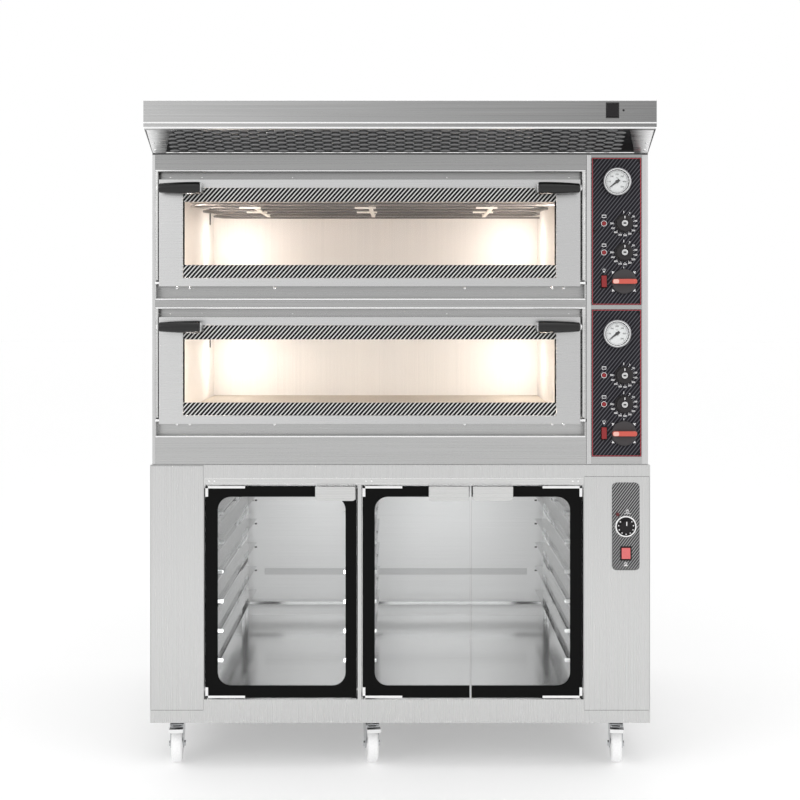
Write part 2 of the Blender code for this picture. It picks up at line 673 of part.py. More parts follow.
def make_rocker(name, size, x, panel_y, z, look):
    """A rocker switch's key, resting with its upper half pressed in."""
    wide, tall = size
    half = ROCKER_THICKNESS / 2
    key = block(name, (x - wide / 2, panel_y - half, z - tall / 2), (x + wide / 2, panel_y + half, z + tall / 2),
                look)
    key.rotation_euler = (math.radians(-ROCKER_TILT), 0.0, 0.0)
    return key


def rocker_hole(size, x, y_low, y_high, z):
    """The window that a rocker swings in."""
    half_wide = size[0] / 2 + FIT
    half_tall = size[1] / 2 + ROCKER_CLEARANCE
    return block("rocker_hole", (x - half_wide, y_low, z - half_tall), (x + half_wide, y_high, z + half_tall))


def make_knob(name, radius, depth, x, face_y, z, look):
    """A thermostat knob with a skirt, a raised rim and the spindle behind it."""
    profile = [
        (0.0, -SPINDLE_LENGTH), (SPINDLE_RADIUS, -SPINDLE_LENGTH), (SPINDLE_RADIUS, 0.0), (radius, 0.0),
        (radius, depth * 0.25), (radius * 0.80, depth), (0.0, depth),
    ]
    turned(name, profile, (x, face_y - FIT, z), (0, -1, 0), look, steps=20)


def make_main_switch(name, x, face_y, z, look):
    """The deck's rotary switch: a disc with a bar handle across it."""
    profile = [
        (0.0, -SPINDLE_LENGTH), (SPINDLE_RADIUS, -SPINDLE_LENGTH), (SPINDLE_RADIUS, 0.0),
        (SWITCH_RADIUS, 0.0), (SWITCH_RADIUS, SWITCH_DEPTH * 0.7), (SWITCH_RADIUS - 0.003, SWITCH_DEPTH),
        (0.0, SWITCH_DEPTH),
    ]
    disc = turned(name, profile, (x, face_y - FIT, z), (0, -1, 0), look)
    front = face_y - FIT - SWITCH_DEPTH
    half_wide, half_tall = SWITCH_BAR_WIDTH / 2, SWITCH_BAR_HEIGHT / 2
    fuse(disc, block(f"{name}_bar", (x - half_wide, front - SWITCH_BAR_DEPTH, z - half_tall),
                     (x + half_wide, front + 0.002, z + half_tall)))


def make_needle(name, x, dial_y, z, look):
    """The gauge's pointer: a hub, a long blade and a short tail that balances it."""
    base = (x, dial_y - FIT, z)
    hub = turned(name, [(0.0, 0.0), (NEEDLE_HUB_RADIUS, 0.0), (NEEDLE_HUB_RADIUS, 0.0025), (0.0, 0.0025)],
                 base, (0, -1, 0), look, steps=10)
    half = NEEDLE_WIDTH / 2
    blade = block(f"{name}_blade", (x - NEEDLE_TAIL, dial_y - FIT - NEEDLE_THICKNESS, z - half),
                  (x + NEEDLE_LENGTH, dial_y - FIT, z + half), origin=base)
    blade.rotation_euler = (0.0, -math.radians(NEEDLE_REST_ANGLE), 0.0)
    fuse(hub, blade)


def spindle_hole(x, z):
    return rod("spindle_hole", SPINDLE_RADIUS + FIT, 0.02, (x, PANEL_FACE_Y - 0.01, z), (0, 1, 0), steps=12)


def make_deck_panel(deck, index, look):
    """One deck's control panel with its gauge, knobs, rotary switch and lamp switch."""
    low = CABINET_TOP + PANEL_RISE + index * PANEL_PITCH
    top = low + PANEL_HEIGHT
    panel = block(f"{deck}_control_panel", (PANEL_LEFT_X, PANEL_FACE_Y, low),
                  (PANEL_LEFT_X + PANEL_WIDTH, PANEL_BACK_Y, top), look["panel"])
    gauge_z, switch_z = top - GAUGE_DROP, top - SWITCH_DROP
    case = rod(f"{deck}_gauge", GAUGE_RADIUS, GAUGE_DEPTH + 0.001, (GAUGE_X, PANEL_FACE_Y + 0.001, gauge_z),
               (0, -1, 0), steps=24)
    fuse(panel, case)
    dial_y = PANEL_FACE_Y - GAUGE_DEPTH + GAUGE_DIAL_DEPTH
    dial = rod(f"{deck}_gauge_dial", GAUGE_RADIUS - GAUGE_BEZEL, 0.03, (GAUGE_X, dial_y, gauge_z), (0, -1, 0),
               steps=24)
    holes = [spindle_hole(KNOB_X, top - drop) for drop in (*KNOB_DROPS, SWITCH_DROP)]
    window = rocker_hole(DECK_ROCKER, ROCKER_X, PANEL_FACE_Y - 0.01, PANEL_BACK_Y + 0.01, switch_z)
    cut(panel, dial, window, *holes)
    make_needle(f"{deck}_gauge_needle", GAUGE_X, dial_y, gauge_z, look["grip"])
    for heat, drop in zip(("top", "bottom"), KNOB_DROPS):
        make_knob(f"{deck}_{heat}_heat_knob", KNOB_RADIUS, KNOB_DEPTH, KNOB_X, PANEL_FACE_Y, top - drop,
                  look["knob"])
    make_main_switch(f"{deck}_main_switch", KNOB_X, PANEL_FACE_Y, switch_z, look["knob"])
    make_rocker(f"{deck}_lamp_rocker", DECK_ROCKER, ROCKER_X, PANEL_FACE_Y, switch_z, look["red"])


def make_proofer_panel(look):
    wide, tall = PROOFER_PANEL_SIZE
    x, z = PROOFER_PANEL_X, PROOFER_PANEL_Z
    back = CABINET_FRONT_Y - FIT
    face = back - PROOFER_PANEL_THICKNESS
    panel = block("proofer_control_panel", (x - wide / 2, face, z - tall / 2), (x + wide / 2, back, z + tall / 2),
                  look["panel"])
    bevel = panel.modifiers.new("Corners", "BEVEL")
    bevel.width = PROOFER_PANEL_CORNER
    bevel.segments = 4
    bevel.limit_method = "WEIGHT"
    weights = panel.data.attributes.new("bevel_weight_edge", "FLOAT", "EDGE")
    for edge in panel.data.edges:
        a, b = (panel.data.vertices[i].co for i in edge.vertices)
        weights.data[edge.index].value = 1.0 if abs(a.y - b.y) > 1e-6 else 0.0
    hole = rod("proofer_spindle_hole", SPINDLE_RADIUS + FIT, 0.02, (x, face - 0.01, z), (0, 1, 0))
    window = rocker_hole(PROOFER_ROCKER, x, face - 0.01, back + 0.01, PROOFER_ROCKER_Z)
    cut(panel, hole, window)
    make_knob("proofer_heat_knob", PROOFER_KNOB_RADIUS, PROOFER_KNOB_DEPTH, x, face, z, look["knob"])
    make_rocker("proofer_power_rocker", PROOFER_ROCKER, x, face, PROOFER_ROCKER_Z, look["red"])


# ---- Oven ------------------------------------------------------------------------------


def recess_low(index):
    return CABINET_TOP + RECESS_RISE + index * DECK_PITCH


def door_low(index):
    return recess_low(index) + DOOR_RISE


def stone_top(index):
    return recess_low(index) + STONE_RISE


def door_pivot(index):
    """The oven door's hinge line, near its lower edge and close behind its face."""
    return Vector(((DOOR_LEFT_X + DOOR_RIGHT_X) / 2, DOOR_FACE_Y + DOOR_PIN_SETBACK,
                   door_low(index) + DOOR_PIN_RISE))


def make_casing(look):
    """The oven's outer wrap: sides, roof, floor and back, open at the front."""
    half = OVEN_WIDTH / 2
    low, high = CABINET_TOP + FIT, OVEN_TOP - FIT
    front = OVEN_FRONT_Y + SHEET + FIT
    casing = block("oven_casing", (-half, front, low), (half, BACK_Y, high), look["steel"])
    cut(casing, block("casing_hollow", (-half + SHEET, front - 0.01, low + SHEET),
                      (half - SHEET, BACK_Y - SHEET, high - SHEET)))


def make_fascia(look):
    """The oven's front: a sheet with a folded recess for each door, and the hole to its chamber."""
    half = OVEN_WIDTH / 2
    front = OVEN_FRONT_Y
    sheet = block("oven_fascia", (-half, front, CABINET_TOP + FIT), (half, front + SHEET, OVEN_TOP - FIT),
                  look["steel"])
    pans, cutters = [], []
    for index, deck in enumerate(DECK_NAMES):
        low = recess_low(index)
        high = low + RECESS_HEIGHT
        pans.append(block(f"{deck}_recess", (RECESS_LEFT_X - SHEET, front, low - SHEET),
                          (RECESS_RIGHT_X + SHEET, RECESS_BACK_Y + SHEET, high + SHEET)))
        cutters.append(block(f"{deck}_recess_hollow", (RECESS_LEFT_X, front - 0.01, low),
                             (RECESS_RIGHT_X, RECESS_BACK_Y, high)))
        cutters.append(block(f"{deck}_mouth", (CHAMBER_LEFT_X, front - 0.02, stone_top(index) - STONE_THICKNESS),
                             (CHAMBER_RIGHT_X, front + 0.10, stone_top(index) + CHAMBER_HEIGHT)))
        pivot = door_pivot(index)
        for edge in (RECESS_LEFT_X, RECESS_RIGHT_X):
            cutters.append(rod(f"{deck}_pin_hole", DOOR_PIN_RADIUS + FIT, 0.012,
                               (edge - 0.006, pivot.y, pivot.z), (1, 0, 0)))
        switch_z = CABINET_TOP + PANEL_RISE + index * PANEL_PITCH + PANEL_HEIGHT - SWITCH_DROP
        wide, tall = DECK_ROCKER
        cutters.append(block(f"{deck}_switch_window",
                             (ROCKER_X - wide / 2 - 0.003, front - 0.01, switch_z - tall / 2 - 0.003),
                             (ROCKER_X + wide / 2 + 0.003, front + 0.01, switch_z + tall / 2 + 0.003)))
    fuse(sheet, *pans)
    cut(sheet, *cutters)


def make_liner(deck, index, look):
    """The steel lining of one chamber, with ledges for its stone and hangers for its element."""
    top = stone_top(index)
    floor = top - STONE_THICKNESS - FIT - STONE_LEDGE_HEIGHT
    ceiling = top + CHAMBER_HEIGHT
    back = LINER_FRONT_Y + CHAMBER_DEPTH
    liner = block(f"{deck}_chamber_liner",
                  (CHAMBER_LEFT_X - CHAMBER_WALL, LINER_FRONT_Y, floor - CHAMBER_WALL),
                  (CHAMBER_RIGHT_X + CHAMBER_WALL, back + CHAMBER_WALL, ceiling + CHAMBER_WALL), look["liner"])
    cut(liner, block(f"{deck}_chamber_hollow", (CHAMBER_LEFT_X, LINER_FRONT_Y - 0.01, floor),
                     (CHAMBER_RIGHT_X, back, ceiling)))
    ledges = [
        block("left_ledge", (CHAMBER_LEFT_X - 0.001, LINER_FRONT_Y, floor - 0.001),
              (CHAMBER_LEFT_X + STONE_LEDGE_WIDTH, back, floor + STONE_LEDGE_HEIGHT)),
        block("right_ledge", (CHAMBER_RIGHT_X - STONE_LEDGE_WIDTH, LINER_FRONT_Y, floor - 0.001),
              (CHAMBER_RIGHT_X + 0.001, back, floor + STONE_LEDGE_HEIGHT)),
    ]
    hangers = []
    for offset in HANGER_OFFSETS:
        x = CHAMBER_CENTRE_X + offset
        hangers.append(block("hanger", (x - HANGER_WIDTH / 2, LINER_FRONT_Y + 0.040, ceiling - HANGER_DEPTH),
                             (x + HANGER_WIDTH / 2, back - 0.040, ceiling + 0.001)))
    fuse(liner, *ledges, *hangers)
    block(f"{deck}_baking_stone", (CHAMBER_LEFT_X + FIT, LINER_FRONT_Y + FIT, top - STONE_THICKNESS),
          (CHAMBER_RIGHT_X - FIT, back - FIT, top), look["stone"])


def element_route(index):
    """A tube that runs to and fro across the chamber, from the front to the back."""
    z = stone_top(index) + CHAMBER_HEIGHT - HANGER_DEPTH - FIT - ELEMENT_RADIUS
    left = CHAMBER_LEFT_X + ELEMENT_END_MARGIN
    right = CHAMBER_RIGHT_X - ELEMENT_END_MARGIN
    y = LINER_FRONT_Y + ELEMENT_FRONT_MARGIN
    radius = ELEMENT_PITCH / 2
    points = [(CHAMBER_RIGHT_X - FIT - 0.0005, y, z)]
    for run in range(ELEMENT_RUNS):
        heading = -1 if run % 2 == 0 else 1
        end = left if heading < 0 else right
        if run == ELEMENT_RUNS - 1:
            points.append((CHAMBER_RIGHT_X - FIT - 0.0005, y, z))
            break
        for step in range(ELEMENT_BEND_STEPS + 1):
            angle = math.pi * step / ELEMENT_BEND_STEPS
            points.append((end + heading * radius * math.sin(angle), y + radius * (1 - math.cos(angle)), z))
        y += ELEMENT_PITCH
    return points


def make_element(deck, index, look):
    curve = bpy.data.curves.new(f"{deck}_top_element", "CURVE")
    curve.dimensions = "3D"
    curve.bevel_depth = ELEMENT_RADIUS
    curve.bevel_resolution = 1
    curve.use_fill_caps = True
    route = element_route(index)
    spline = curve.splines.new("POLY")
    spline.points.add(len(route) - 1)
    for point, place_at in zip(spline.points, route):
        point.co = (*place_at, 1.0)
    curve.materials.append(look["element"])
    made = bpy.data.objects.new(f"{deck}_top_element", curve)
    bpy.context.scene.collection.objects.link(made)


def grip_ends():
    """Each door grip as name, outer end, inner end and the way it points inwards."""
    left = DOOR_LEFT_X + GRIP_INSET
    right = DOOR_RIGHT_X - GRIP_INSET
    return (("left", left, left + GRIP_LENGTH, 1), ("right", right, right - GRIP_LENGTH, -1))


def make_oven_door(deck, index, look):
    """The frame with its two hinge pins and handle arms, the pane in it and the two grips."""
    low = door_low(index)
    high = low + DOOR_HEIGHT
    pivot = door_pivot(index)
    back = DOOR_FACE_Y + DOOR_THICKNESS
    frame = block(f"{deck}_door_frame", (DOOR_LEFT_X, DOOR_FACE_Y, low), (DOOR_RIGHT_X, back, high),
                  look["steel"], origin=pivot)
    pane_left, pane_right = DOOR_LEFT_X + DOOR_SIDE_RAIL, DOOR_RIGHT_X - DOOR_SIDE_RAIL
    cut(frame, block(f"{deck}_door_opening", (pane_left, DOOR_FACE_Y - 0.01, low + DOOR_CROSS_RAIL),
                     (pane_right, back + 0.01, high - DOOR_CROSS_RAIL)))
    grip_y, grip_z = DOOR_FACE_Y - GRIP_STANDOFF, high - GRIP_DROP
    arms = []
    for side, outer, inner, way in grip_ends():
        a, b = sorted((outer - way * FIT, outer - way * (FIT + GRIP_PLATE)))
        arms.append(block(f"{deck}_{side}_outer_arm", (a, grip_y - 0.008, grip_z - 0.008),
                          (b, DOOR_FACE_Y + 0.001, grip_z + 0.008)))
        a, b = sorted((inner + way * FIT, inner + way * (FIT + GRIP_PLATE)))
        arms.append(block(f"{deck}_{side}_inner_arm", (a, grip_y - 0.010, grip_z - 0.012),
                          (b, DOOR_FACE_Y + 0.001, grip_z + 0.012)))
        length = GRIP_LENGTH
        grip = turned(f"{deck}_{side}_grip",
                      [(0.0, 0.0), (GRIP_OUTER_RADIUS - 0.002, 0.0), (GRIP_OUTER_RADIUS, 0.002),
                       (GRIP_OUTER_RADIUS + 0.0035, length * 0.30), (GRIP_INNER_RADIUS, length * 0.62),
                       (GRIP_INNER_RADIUS, length - 0.002), (GRIP_INNER_RADIUS - 0.002, length), (0.0, length)],
                      (outer, grip_y, grip_z), (way, 0, 0), look["grip"], steps=16)
        on_axis(grip, pivot)
    pins = [
        rod(f"{deck}_left_pin", DOOR_PIN_RADIUS, DOOR_SIDE_GAP_LEFT + SHEET + 0.002,
            (DOOR_LEFT_X + 0.001, pivot.y, pivot.z), (-1, 0, 0)),
        rod(f"{deck}_right_pin", DOOR_PIN_RADIUS, DOOR_SIDE_GAP_RIGHT + SHEET + 0.002,
            (DOOR_RIGHT_X - 0.001, pivot.y, pivot.z), (1, 0, 0)),
    ]
    fuse(frame, *arms, *pins)
    pane_y = DOOR_FACE_Y + PANE_SETBACK
    block(f"{deck}_door_pane", (pane_left + FIT, pane_y, low + DOOR_CROSS_RAIL + FIT),
          (pane_right - FIT, pane_y + PANE_THICKNESS, high - DOOR_CROSS_RAIL - FIT), look["glass"], origin=pivot)


def make_oven(look):
    make_casing(look)
    make_fascia(look)
    for index, deck in enumerate(DECK_NAMES):
        make_liner(deck, index, look)
        make_element(deck, index, look)
        make_oven_door(deck, index, look)
        make_deck_panel(deck, index, look)


# ---- Hood ------------------------------------------------------------------------------


def make_hood_shell(look):
    """The hood: a shallow box whose front overhangs the doors, open along its sloping underside."""
    half = OVEN_WIDTH / 2
    low, high = OVEN_TOP, HOOD_TOP
    band_low = low + HOOD_SLOPE_RISE
    outer = [(OVEN_FRONT_Y, low), (HOOD_FRONT_Y, band_low), (HOOD_FRONT_Y, high), (BACK_Y, high), (BACK_Y, low)]
    shell = prism("hood_shell", outer, -half, half, look["steel"])
    sill = OVEN_FRONT_Y + SHEET
    lip_y, lip_z = HOOD_FRONT_Y + HOOD_LIP, band_low + SHEET
    inner = [
        (sill, low + SHEET), (BACK_Y - SHEET, low + SHEET), (BACK_Y - SHEET, high - SHEET),
        (HOOD_FRONT_Y + SHEET, high - SHEET), (HOOD_FRONT_Y + SHEET, lip_z), (lip_y, lip_z),
        (lip_y, low - 0.02), (sill, low - 0.02),
    ]
    window = rocker_hole(HOOD_ROCKER, HOOD_ROCKER_X, HOOD_FRONT_Y - 0.01, HOOD_FRONT_Y + 0.01,
                         low + HOOD_ROCKER_RISE)
    cut(shell, prism("hood_hollow", inner, -half + SHEET, half - SHEET), window)
    collar = rod("exhaust_collar", COLLAR_RADIUS, COLLAR_HEIGHT + SHEET, (0.0, COLLAR_Y, high - SHEET),
                 (0, 0, 1), steps=32)
    motor = rod("fan_motor", MOTOR_RADIUS, MOTOR_HEIGHT + SHEET / 2, (0.0, COLLAR_Y, low + SHEET / 2),
                (0, 0, 1), steps=24)
    shaft = rod("fan_shaft", FAN_SHAFT_RADIUS, FAN_SHAFT_HEIGHT, (0.0, COLLAR_Y, low + SHEET / 2), (0, 0, 1))
    fuse(shell, collar, motor, shaft)
    flue = rod("exhaust_bore", COLLAR_RADIUS - COLLAR_WALL, COLLAR_HEIGHT + 0.03, (0.0, COLLAR_Y, high - 0.02),
               (0, 0, 1), steps=32)
    cut(shell, flue)


def make_hood_filter(look):
    """The perforated grease filter that closes the hood's sloping underside."""
    half = OVEN_WIDTH / 2 - SHEET - FIT
    lower_y = OVEN_FRONT_Y + SHEET - FIT
    upper_y = HOOD_FRONT_Y + HOOD_LIP + FIT
    lower_z = OVEN_TOP + SHEET
    upper_z = OVEN_TOP + HOOD_SLOPE_RISE + SHEET
    outline = [(lower_y, lower_z), (upper_y, upper_z), (upper_y, upper_z + FILTER_THICKNESS),
               (lower_y, lower_z + FILTER_THICKNESS)]
    panel = prism("hood_filter", outline, -half, half, look["dark_steel"])
    wide, deep = FILTER_SLOT
    slots = []
    for row in range(FILTER_ROWS):
        y = lower_y + (upper_y - lower_y) * (row + 1) / (FILTER_ROWS + 1)
        for column in range(FILTER_COLUMNS):
            x = -half + 2 * half * (column + 0.5) / FILTER_COLUMNS
            slots.append(block("filter_slot", (x - wide / 2, y - deep / 2, OVEN_TOP - 0.02),
                               (x + wide / 2, y + deep / 2, HOOD_TOP - 0.01)))
    cut(panel, *slots)


def make_hood_fan(look):
    """The extraction impeller: a back plate, a hub with a blind bore and straight blades."""
    low = OVEN_TOP + SHEET / 2 + MOTOR_HEIGHT + SHEET / 2 + FIT
    centre = (0.0, COLLAR_Y, low)
    bore = FAN_SHAFT_RADIUS + FIT
    bore_depth = FAN_SHAFT_HEIGHT - MOTOR_HEIGHT
    crest = bore_depth + 0.012
    profile = [(0.0, bore_depth), (bore, bore_depth), (bore, 0.0), (FAN_RADIUS, 0.0), (FAN_RADIUS, FAN_PLATE),
               (FAN_HUB_RADIUS, FAN_PLATE), (FAN_HUB_RADIUS, crest), (0.0, crest)]
    fan = turned("hood_fan", profile, centre, (0, 0, 1), look["zinc"], steps=32)
    blades = []
    for index in range(FAN_BLADES):
        blade = block("fan_blade", (0.055, COLLAR_Y - FAN_PLATE / 2, low + FAN_PLATE / 2),
                      (FAN_RADIUS - 0.002, COLLAR_Y + FAN_PLATE / 2, low + FAN_HEIGHT), origin=centre)
        blade.rotation_euler = (0.0, 0.0, math.tau * index / FAN_BLADES)
        blades.append(blade)
    fuse(fan, *blades)


def make_hood(look):
    make_hood_shell(look)
    make_hood_filter(look)
    make_hood_fan(look)
    make_rocker("hood_fan_rocker", HOOD_ROCKER, HOOD_ROCKER_X, HOOD_FRONT_Y + HOOD_ROCKER_SET,
                OVEN_TOP + HOOD_ROCKER_RISE, look["grip"])


def main():
    for thing in list(bpy.data.objects):
        bpy.data.objects.remove(thing, do_unlink=True)
    look = make_materials()
    make_cabinet(look)
    make_covers(look)
    make_racks(look)
    make_proofer_heater(look)
    make_glass_doors(look)
    make_proofer_panel(look)
    make_castors(look)
    make_oven(look)
    make_hood(look)


main()
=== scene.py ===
# %% [markdown]
# # A two-deck bakery oven on its proofing cabinet
#
# The oven stands about 1.9 m tall: an extraction hood on top, two baking decks
# with drop-down glass doors, and a glass-doored cabinet on castors where dough
# rises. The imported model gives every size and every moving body. This lesson
# dresses it: better materials on the pieces whose shape is right, and detailed
# new pieces where a plain solid would look plain.
#
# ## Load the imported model
#
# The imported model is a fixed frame.

# %% Load the model and keep its box
import math

import bpy
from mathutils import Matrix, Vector


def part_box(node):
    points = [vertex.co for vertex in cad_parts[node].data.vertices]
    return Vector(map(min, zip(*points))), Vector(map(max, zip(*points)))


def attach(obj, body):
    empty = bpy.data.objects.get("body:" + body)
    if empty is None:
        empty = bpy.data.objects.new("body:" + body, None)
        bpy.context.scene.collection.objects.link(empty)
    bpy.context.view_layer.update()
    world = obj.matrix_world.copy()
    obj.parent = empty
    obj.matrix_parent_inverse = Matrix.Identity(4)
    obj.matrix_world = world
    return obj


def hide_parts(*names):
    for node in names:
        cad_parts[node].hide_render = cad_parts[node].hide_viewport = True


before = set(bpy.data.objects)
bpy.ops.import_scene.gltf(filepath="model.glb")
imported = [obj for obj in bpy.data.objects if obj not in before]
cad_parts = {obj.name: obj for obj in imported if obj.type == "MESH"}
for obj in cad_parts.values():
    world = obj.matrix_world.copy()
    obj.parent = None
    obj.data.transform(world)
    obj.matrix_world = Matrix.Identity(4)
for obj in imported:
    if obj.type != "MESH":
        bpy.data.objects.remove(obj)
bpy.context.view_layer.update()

DECKS = ("lower", "upper")
BAYS = ("left", "middle", "right")

# %% [markdown]
# ## Camera
#
# A level camera keeps the oven's uprights upright. It stands about 3.5 m in
# front, a little above the middle, and the lens is shifted down rather than
# tilted, which would make the uprights lean.

# %% Set up the camera
CAMERA_PLACE = (0.008, -3.930, 1.284)
CAMERA_LENS = 57.0

bpy.ops.object.camera_add(location=CAMERA_PLACE, rotation=(math.radians(90.0), 0.0, 0.0))
camera = bpy.context.object
camera.name = "camera"
camera.data.lens = CAMERA_LENS
camera.data.sensor_width = 36.0
camera.data.shift_x = -0.0038
camera.data.shift_y = -0.1190
bpy.context.scene.camera = camera
bpy.context.scene.view_settings.view_transform = "Standard"
print("camera stands", -CAMERA_PLACE[1], "m in front of the oven's middle")

# %% [markdown]
# ## A plain white studio
#
# The world is soft and even, and shows white to the camera and in what metal
# and glass mirror. Two large lamps at the front corners and one above shape
# the light a little. The floor is a pale plane that catches the shadow.
#
# Polished steel throws light to and fro inside the cabinet's bays and the
# baking chambers, more than a short render can follow. So a soft lamp in each
# bay and a small warm one near each back corner of a chamber stand for that
# light. They are hidden from the camera and from mirrors.

# %% Light the studio
WORLD_FILL = 0.95
FLOOR_SHADE = 0.74
FLOOR_GLOW = 0.27
CORNER_FROM_SIDE, CORNER_FROM_BACK, CORNER_ABOVE_MIDDLE = 0.085, 0.170, 0.030


def light_world():
    """A world that lights things softly, and that eyes and mirrors see as white."""
    world = bpy.data.worlds.new("studio")
    bpy.context.scene.world = world
    world.use_nodes = True
    nodes, links = world.node_tree.nodes, world.node_tree.links
    background = nodes["Background"]
    background.inputs["Color"].default_value = (1.0, 1.0, 1.0, 1.0)
    ray = nodes.new("ShaderNodeLightPath")
    seen = nodes.new("ShaderNodeMath")
    seen.operation = "MAXIMUM"
    links.new(ray.outputs["Is Camera Ray"], seen.inputs[0])
    links.new(ray.outputs["Is Glossy Ray"], seen.inputs[1])
    also = nodes.new("ShaderNodeMath")
    also.operation = "MAXIMUM"
    links.new(seen.outputs[0], also.inputs[0])
    links.new(ray.outputs["Is Transmission Ray"], also.inputs[1])
    level = nodes.new("ShaderNodeMapRange")
    level.inputs["To Min"].default_value = WORLD_FILL
    level.inputs["To Max"].default_value = 1.0
    links.new(also.outputs[0], level.inputs["Value"])
    links.new(level.outputs[0], background.inputs["Strength"])


def soft_lamp(name, place, aim, width, power):
    """A square area lamp that points at `aim`."""
    turn = (Vector(aim) - Vector(place)).to_track_quat("-Z", "Y").to_euler()
    bpy.ops.object.light_add(type="AREA", location=place, rotation=turn)
    lamp = bpy.context.object
    lamp.name = name
    lamp.data.size = width
    lamp.data.energy = power
    return lamp


def corner_lamp(name, place, power):
    """A small warm lamp, to stand near a back corner of a chamber."""
    bpy.ops.object.light_add(type="POINT", location=place)
    lamp = bpy.context.object
    lamp.name = name
    lamp.data.color = (1.0, 0.97, 0.92)
    lamp.data.shadow_soft_size = 0.040
    lamp.data.energy = power
    return lamp


def hide_lamp(lamp):
    """Keeps a lamp's light and hides the lamp itself."""
    lamp.visible_camera = False
    lamp.visible_glossy = False
    lamp.visible_transmission = False


light_world()
soft_lamp("lamp_front_left", (-3.2, -3.4, 2.6), (0.0, 0.0, 0.9), 2.2, 30.0)
soft_lamp("lamp_front_right", (3.2, -3.2, 2.6), (0.0, 0.0, 0.9), 2.2, 20.0)
soft_lamp("lamp_above", (0.0, -1.2, 4.4), (0.0, 0.0, 0.4), 2.6, 20.0)
for name, x, power in (("lamp_left_bay", -0.29, 6.2), ("lamp_right_bay", 0.22, 5.0)):
    hide_lamp(soft_lamp(name, (x, -0.395, 0.50), (x, 0.50, 0.38), 0.40, power))
for deck, power in (("lower", 0.55), ("upper", 0.72)):
    low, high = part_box(f"{deck}_chamber_liner")
    y, z = high.y - CORNER_FROM_BACK, (low.z + high.z) / 2 + CORNER_ABOVE_MIDDLE
    for side, x in (("left", low.x + CORNER_FROM_SIDE), ("right", high.x - CORNER_FROM_SIDE)):
        hide_lamp(corner_lamp(f"lamp_{deck}_{side}_corner", (x, y, z), power))

# %% Lay the floor
def floor_finish():
    """Pale, faintly lit floor: it catches a soft shadow and otherwise reads as white."""
    made = bpy.data.materials.new("studio_floor")
    made.use_nodes = True
    paint = made.node_tree.nodes["Principled BSDF"]
    paint.inputs["Base Color"].default_value = (FLOOR_SHADE, FLOOR_SHADE, FLOOR_SHADE, 1.0)
    paint.inputs["Emission Color"].default_value = (1.0, 1.0, 1.0, 1.0)
    paint.inputs["Emission Strength"].default_value = FLOOR_GLOW
    paint.inputs["Roughness"].default_value = 0.6
    paint.inputs["Specular IOR Level"].default_value = 0.1
    return made


bpy.ops.mesh.primitive_plane_add(size=80.0)
floor = bpy.context.object
floor.name = "studio_floor"
floor.data.materials.append(floor_finish())
print("the floor is laid")

# %% [markdown]
# ## Finishes
#
# Stainless sheet is brushed: fine scratches all run one way, so it is smooth
# along the grain and rough across it. Noise stretched along the grain, fed to
# roughness, a shallow bump and a slight change of colour, gives that. The grain
# direction differs from panel to panel, as sheets are cut and folded. Some
# finishes fade along an axis, and that fade is painted light and shade: the
# oven's sheet is darker toward the top, under the hood, the hood and the doors
# are lighter toward the left, and the hood's cheeks are pale at their outer ends.
# A satin sheet is a little less metallic.

# %% Helpers for node materials
def new_finish(name, colour, roughness, metallic=0.0):
    """A material with its one Principled shader, and the shader's node tree."""
    made = bpy.data.materials.new(name)
    made.use_nodes = True
    shader = made.node_tree.nodes["Principled BSDF"]
    shader.inputs["Base Color"].default_value = (*colour, 1.0)
    shader.inputs["Roughness"].default_value = roughness
    shader.inputs["Metallic"].default_value = metallic
    return made, made.node_tree.nodes, made.node_tree.links, shader


def add_noise(nodes, links, stretch, detail):
    """Noise on Object coordinates, stretched by a Mapping node."""
    place = nodes.new("ShaderNodeTexCoord")
    mapping = nodes.new("ShaderNodeMapping")
    mapping.inputs["Scale"].default_value = stretch
    noise = nodes.new("ShaderNodeTexNoise")
    noise.inputs["Scale"].default_value = 1.0
    noise.inputs["Detail"].default_value = detail
    links.new(place.outputs["Object"], mapping.inputs["Vector"])
    links.new(mapping.outputs["Vector"], noise.inputs["Vector"])
    return noise.outputs["Fac"]


def add_range(nodes, links, source, low, high, start=0.3, end=0.7):
    """Maps a noise onto a range of numbers."""
    step = nodes.new("ShaderNodeMapRange")
    for name, number in (("From Min", start), ("From Max", end), ("To Min", low), ("To Max", high)):
        step.inputs[name].default_value = number
    links.new(source, step.inputs["Value"])
    return step.outputs["Result"]


def add_bump(nodes, links, source, shader, strength, distance):
    """Lets a noise dent the surface."""
    bump = nodes.new("ShaderNodeBump")
    bump.inputs["Strength"].default_value = strength
    bump.inputs["Distance"].default_value = distance
    links.new(source, bump.inputs["Height"])
    links.new(bump.outputs["Normal"], shader.inputs["Normal"])


def add_mix(nodes, links, source, shader, first, second):
    """Mixes two colours by a noise or a pattern, as the surface's colour."""
    mix = nodes.new("ShaderNodeMix")
    mix.data_type = "RGBA"
    mix.inputs[6].default_value = (*first, 1.0)
    mix.inputs[7].default_value = (*second, 1.0)
    links.new(source, mix.inputs[0])
    links.new(mix.outputs[2], shader.inputs["Base Color"])


def add_tint(nodes, links, source, shader, colour, low, high):
    """Lets a noise lighten and darken a colour."""
    darker, lighter = [part * low for part in colour], [part * high for part in colour]
    add_mix(nodes, links, source, shader, darker, lighter)


print("material helpers are ready")

# %% Brushed and bright metals
GRAINS = {"x": (1.5, 420.0, 420.0), "y": (420.0, 1.5, 420.0), "z": (420.0, 420.0, 1.5)}


